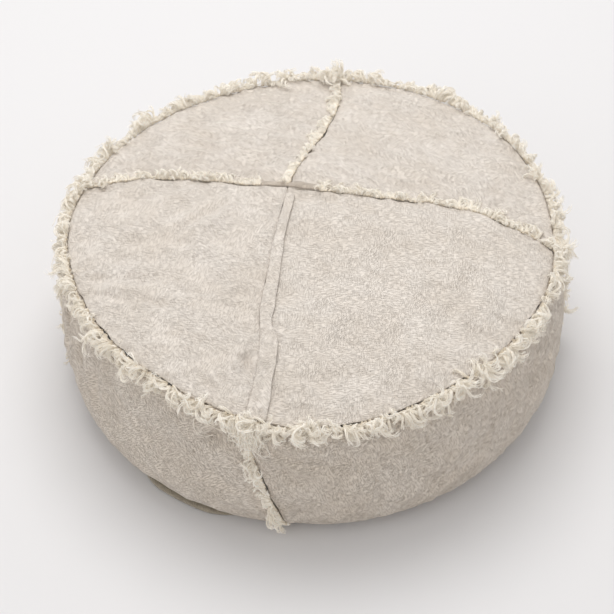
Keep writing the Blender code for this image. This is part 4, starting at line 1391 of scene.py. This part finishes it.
def baseEdge():
    # the base seam's folded allowance, all round, with the lip that peeks out
    turns = np.linspace(0, 360, lip["steps"])
    away = np.abs((turns - lip["azimuth"] + 180) % 360 - 180) / lip["spread"]
    peek = softStep(1.35 - away)
    wave = np.interp(turns, np.linspace(0, 360, 200), wander(200, 0.02, 1.8, 12))
    wave = wave * np.sin(np.radians(turns / 2)).clip(0, 0.3)
    outer = lip["outer"] + lip["out"] * peek + 0.0007 * wave
    thick = lip["thick"] + lip["thickOut"] * peek * (0.85 + 0.15 * wave)
    outward = np.stack([np.cos(np.radians(turns)), np.sin(np.radians(turns)), np.zeros(len(turns))], 1)
    rows, grain = [], []
    for v, h in ((0, 0.05), (0, 0.8), (0.55, 1.0), (0.85, 1.0), (0.97, 0.85), (1.0, 0.5),
                 (0.97, 0.15), (0.85, 0.02)):
        radius = lip["inner"] + (outer - lip["inner"]) * v
        high = 0.0003 + thick * h * (0.55 + 0.45 * v)
        rows.append(outward * radius[:, None] + np.array([0, 0, 1.0]) * high[:, None])
        grain.append(np.stack([np.radians(turns) * 0.28, radius + h * 0.004], 1))
    piece = ribbon("base_seam_edge", np.stack(rows, 1)[:, ::-1], np.stack(grain, 1)[:, ::-1], shadedLipCloth)
    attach(piece, "cushion")
    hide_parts("base_seam_allowance")


baseEdge()
print("seam edges folded")


tape = {"inner": 0.0008, "outer": 0.0120, "half": 0.205, "low": 0.0066, "thick": 0.0007, "steps": 260,
        "colour": (0.50, 0.45, 0.38, 1), "dark": (0.34, 0.30, 0.245, 1)}
coil = {"half": 0.180, "pitch": 0.0015, "beside": 0.0019, "height": 0.0085, "wide": 0.0009, "tall": 0.0007,
        "wire": 0.0004, "colour": (0.55, 0.50, 0.43, 1), "dark": (0.42, 0.37, 0.31, 1)}
metal = {"colour": (0.55, 0.54, 0.52, 1), "scratched": (0.42, 0.41, 0.40, 1)}


def tapeMaterial():
    # herringbone tape, its ribs turning every few millimetres
    material, tree, shader = newMaterial("zipTape", 0.8)
    grain = addNode(tree, "UVMap", uv_map="grain").outputs[0]
    split = addNode(tree, "SeparateXYZ", links={0: grain})
    zigzag = mathNode(tree, "PINGPONG", split.outputs[1], 0.002)
    slope = mathNode(tree, "ADD", split.outputs[0], zigzag)
    ribs = mathNode(tree, "SINE", mathNode(tree, "MULTIPLY", slope, 2 * math.pi / 0.0008))
    ribs = mathNode(tree, "MULTIPLY_ADD", ribs, 0.5, 0.5)
    tree.links.new(mixColour(tree, ribs, tape["dark"], tape["colour"]), shader.inputs["Base Color"])
    bump = addNode(tree, "Bump", {"Strength": 0.6, "Distance": 0.0002}, {"Height": ribs})
    tree.links.new(bump.outputs[0], shader.inputs["Normal"])
    return material


def metalMaterial():
    material, tree, shader = newMaterial("zipMetal", 0.35, metallic=1.0)
    coords = addNode(tree, "TexCoord").outputs["Object"]
    brushed = addNode(tree, "Mapping", {"Scale": (300.0, 3000.0, 3000.0)}, {"Vector": coords})
    lines = addNode(tree, "TexNoise", {"Scale": 1.0, "Detail": 3.0}, {"Vector": brushed.outputs[0]})
    wear = ramp(tree, lines.outputs["Fac"], 0.4, 0.7)
    tree.links.new(mixColour(tree, wear, metal["colour"], metal["scratched"]), shader.inputs["Base Color"])
    tree.links.new(mathNode(tree, "MULTIPLY_ADD", wear, 0.15, 0.3), shader.inputs["Roughness"])
    return material


zipTape, zipMetal = tapeMaterial(), metalMaterial()
zipCoil = plyMaterial("zipCoil", coil, roughness=0.45, sheen=0.0)
for k, half in enumerate(("front", "back")):
    side = -1 if half == "front" else 1
    x = np.linspace(-tape["half"], tape["half"], tape["steps"])
    wave = 0.00012 * wander(tape["steps"], 0.03, 0.41, 3 + k)
    rows, grain = [], []
    for v, h in ((0, 0), (0, 1), (0.3, 1), (0.7, 1), (1, 1), (1, 0), (0.5, 0)):
        y = side * (tape["inner"] + (tape["outer"] - tape["inner"]) * v)
        rows.append(np.stack([x, np.full(len(x), y), tape["low"] + tape["thick"] * h + wave], 1))
        grain.append(np.stack([x, np.full(len(x), abs(y) + h * 0.02)], 1))
    rows, grain = np.stack(rows, 1), np.stack(grain, 1)
    if side < 0:
        rows, grain = rows[:, ::-1], grain[:, ::-1]
    piece = ribbon("zip_tape_" + half + "_cloth", rows, grain, zipTape)
    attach(piece, "cushion")
    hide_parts("zip_tape_" + half)
    turns = int(2 * coil["half"] / coil["pitch"])
    angle = np.linspace(0, turns * 2 * math.pi, turns * 10)
    path = np.stack([-coil["half"] + coil["pitch"] * (angle / (2 * math.pi) + k / 2),
                     side * (coil["beside"] + coil["wide"] * np.cos(angle)),
                     coil["height"] + coil["tall"] * np.sin(angle)], 1)
    path[:, 0] = path[:, 0].clip(-coil["half"] + coil["wire"], coil["half"] - coil["wire"])
    points, quads = tubes(path[None], np.full((1, len(path)), coil["wire"]), 5)
    piece = addMesh("zip_coil_" + half + "_turns", points, quads, zipCoil)
    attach(piece, "cushion")
    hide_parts("zip_coil_" + half)
for name in ("zip_slider", "zip_pull", "zip_top_stop_front", "zip_top_stop_back", "zip_bottom_stop"):
    for held in nodes[name].material_slots:
        held.material = zipMetal

linerLook = {"colour": (0.80, 0.78, 0.74, 1), "dark": (0.70, 0.68, 0.64, 1)}
fibreLook = {"colour": (0.92, 0.92, 0.90, 1), "dark": (0.82, 0.82, 0.79, 1)}
linerCloth = plyMaterial("linerCloth", linerLook)
fibre = plyMaterial("hollowFibre", fibreLook, sheen=0.4)
inner = {
    "liner": 0.0075, "filling": 0.0095,  # how deep each lies under the cover
    "overZip": 0.0125, "besideZip": 0.0035,  # heights of the liner's base
    "zipHalf": (0.222, 0.024),  # along and across the zip, where the base is lifted
    "zipSlope": (0.008, 0.006),
}


def innerForm(name, node, kinds, depth, lumps, material):
    # the cover's skin drawn in, and lifted over the zip
    chosen = np.vstack([p["ids"][p["faces"]] for p in patches if p["kind"] in kinds])
    used, faces = np.unique(chosen, return_inverse=True)
    place = foldedSkin[used] - skinNormal[used] * depth
    place += skinNormal[used] * (lumps * noiseAt(place, 0.03, 5.0))[:, None]
    far = (np.array(inner["zipHalf"]) - np.abs(place[:, :2])) / inner["zipSlope"]
    near = softStep(far[:, 0]) * softStep(far[:, 1])
    low = inner["besideZip"] + (inner["overZip"] - inner["besideZip"]) * near + (depth - inner["liner"])
    bottom = foldedSkin[used][:, 2] < 0.008
    place[bottom, 2] = low[bottom]
    place[~bottom, 2] = np.maximum(place[~bottom, 2], low[~bottom])
    piece = addMesh(name, place, faces.reshape(-1, 3), material)
    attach(piece, "cushion")
    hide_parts(node)


for kind in ("top", "side", "base"):
    innerForm("liner_" + kind + "_cloth", "liner_" + kind, [kind], inner["liner"], 0.0, linerCloth)
innerForm("fibre_filling_mass", "fibre_filling", ["top", "side", "base"], inner["filling"], 0.001, fibre)
print("zip, liner and filling placed")


studio = {
    "floor": (0.735, 0.722, 0.722, 1),
    "lens": 126,
    "distance": 2.766,
    "rise": 48.0,  # degrees above the floor
    "aim": (-0.008, -0.027, 0.1),
    "roll": -1.2,
    "lookAt": (0, 0, 0.1),  # where both lamps point
    "softbox": {"place": (-0.1, 0.9, 2.8), "size": 2.0, "power": 47},
    "fill": {"place": (-1.8, -1.6, 1.6), "size": 1.8, "power": 5},
    "worldLight": 0.725,
}


def addFloor():
    points = np.array([(-6, -6, 0), (6, -6, 0), (6, 8, 0), (-6, 8, 0)], float)
    material, _, shader = newMaterial("paleFloor", 0.9)
    shader.inputs["Base Color"].default_value = studio["floor"]
    floor = addMesh("floor", points, [(0, 1, 2, 3)], material, smooth=False)


def addLamp(name):
    look = studio[name]
    lamp = bpy.data.lights.new(name, "AREA")
    lamp.shape = "DISK"
    lamp.size = look["size"]
    lamp.energy = look["power"]
    piece = bpy.data.objects.new(name, lamp)
    piece.location = look["place"]
    beam = Vector(studio["lookAt"]) - Vector(look["place"])
    piece.rotation_euler = beam.to_track_quat("-Z", "Y").to_euler()
    scene.collection.objects.link(piece)


def addCamera():
    lens = bpy.data.cameras.new("camera")
    lens.sensor_width = 36
    lens.lens = studio["lens"]
    camera = bpy.data.objects.new("camera", lens)
    rise = math.radians(studio["rise"])
    camera.location = (0, -studio["distance"] * math.cos(rise), studio["distance"] * math.sin(rise))
    aim = (Vector(studio["aim"]) - camera.location).to_track_quat("-Z", "Y")
    roll = Quaternion((0, 0, 1), math.radians(studio["roll"]))
    camera.rotation_euler = (aim @ roll).to_euler()
    scene.collection.objects.link(camera)
    scene.camera = camera


addFloor()
addLamp("softbox")
addLamp("fill")
addCamera()
world = bpy.data.worlds.new("studio")
scene.world = world
world.use_nodes = True
world.node_tree.nodes["Background"].inputs["Color"].default_value = (1, 1, 1, 1)
world.node_tree.nodes["Background"].inputs["Strength"].default_value = studio["worldLight"]
scene.view_settings.view_transform = "Standard"
print("studio set")
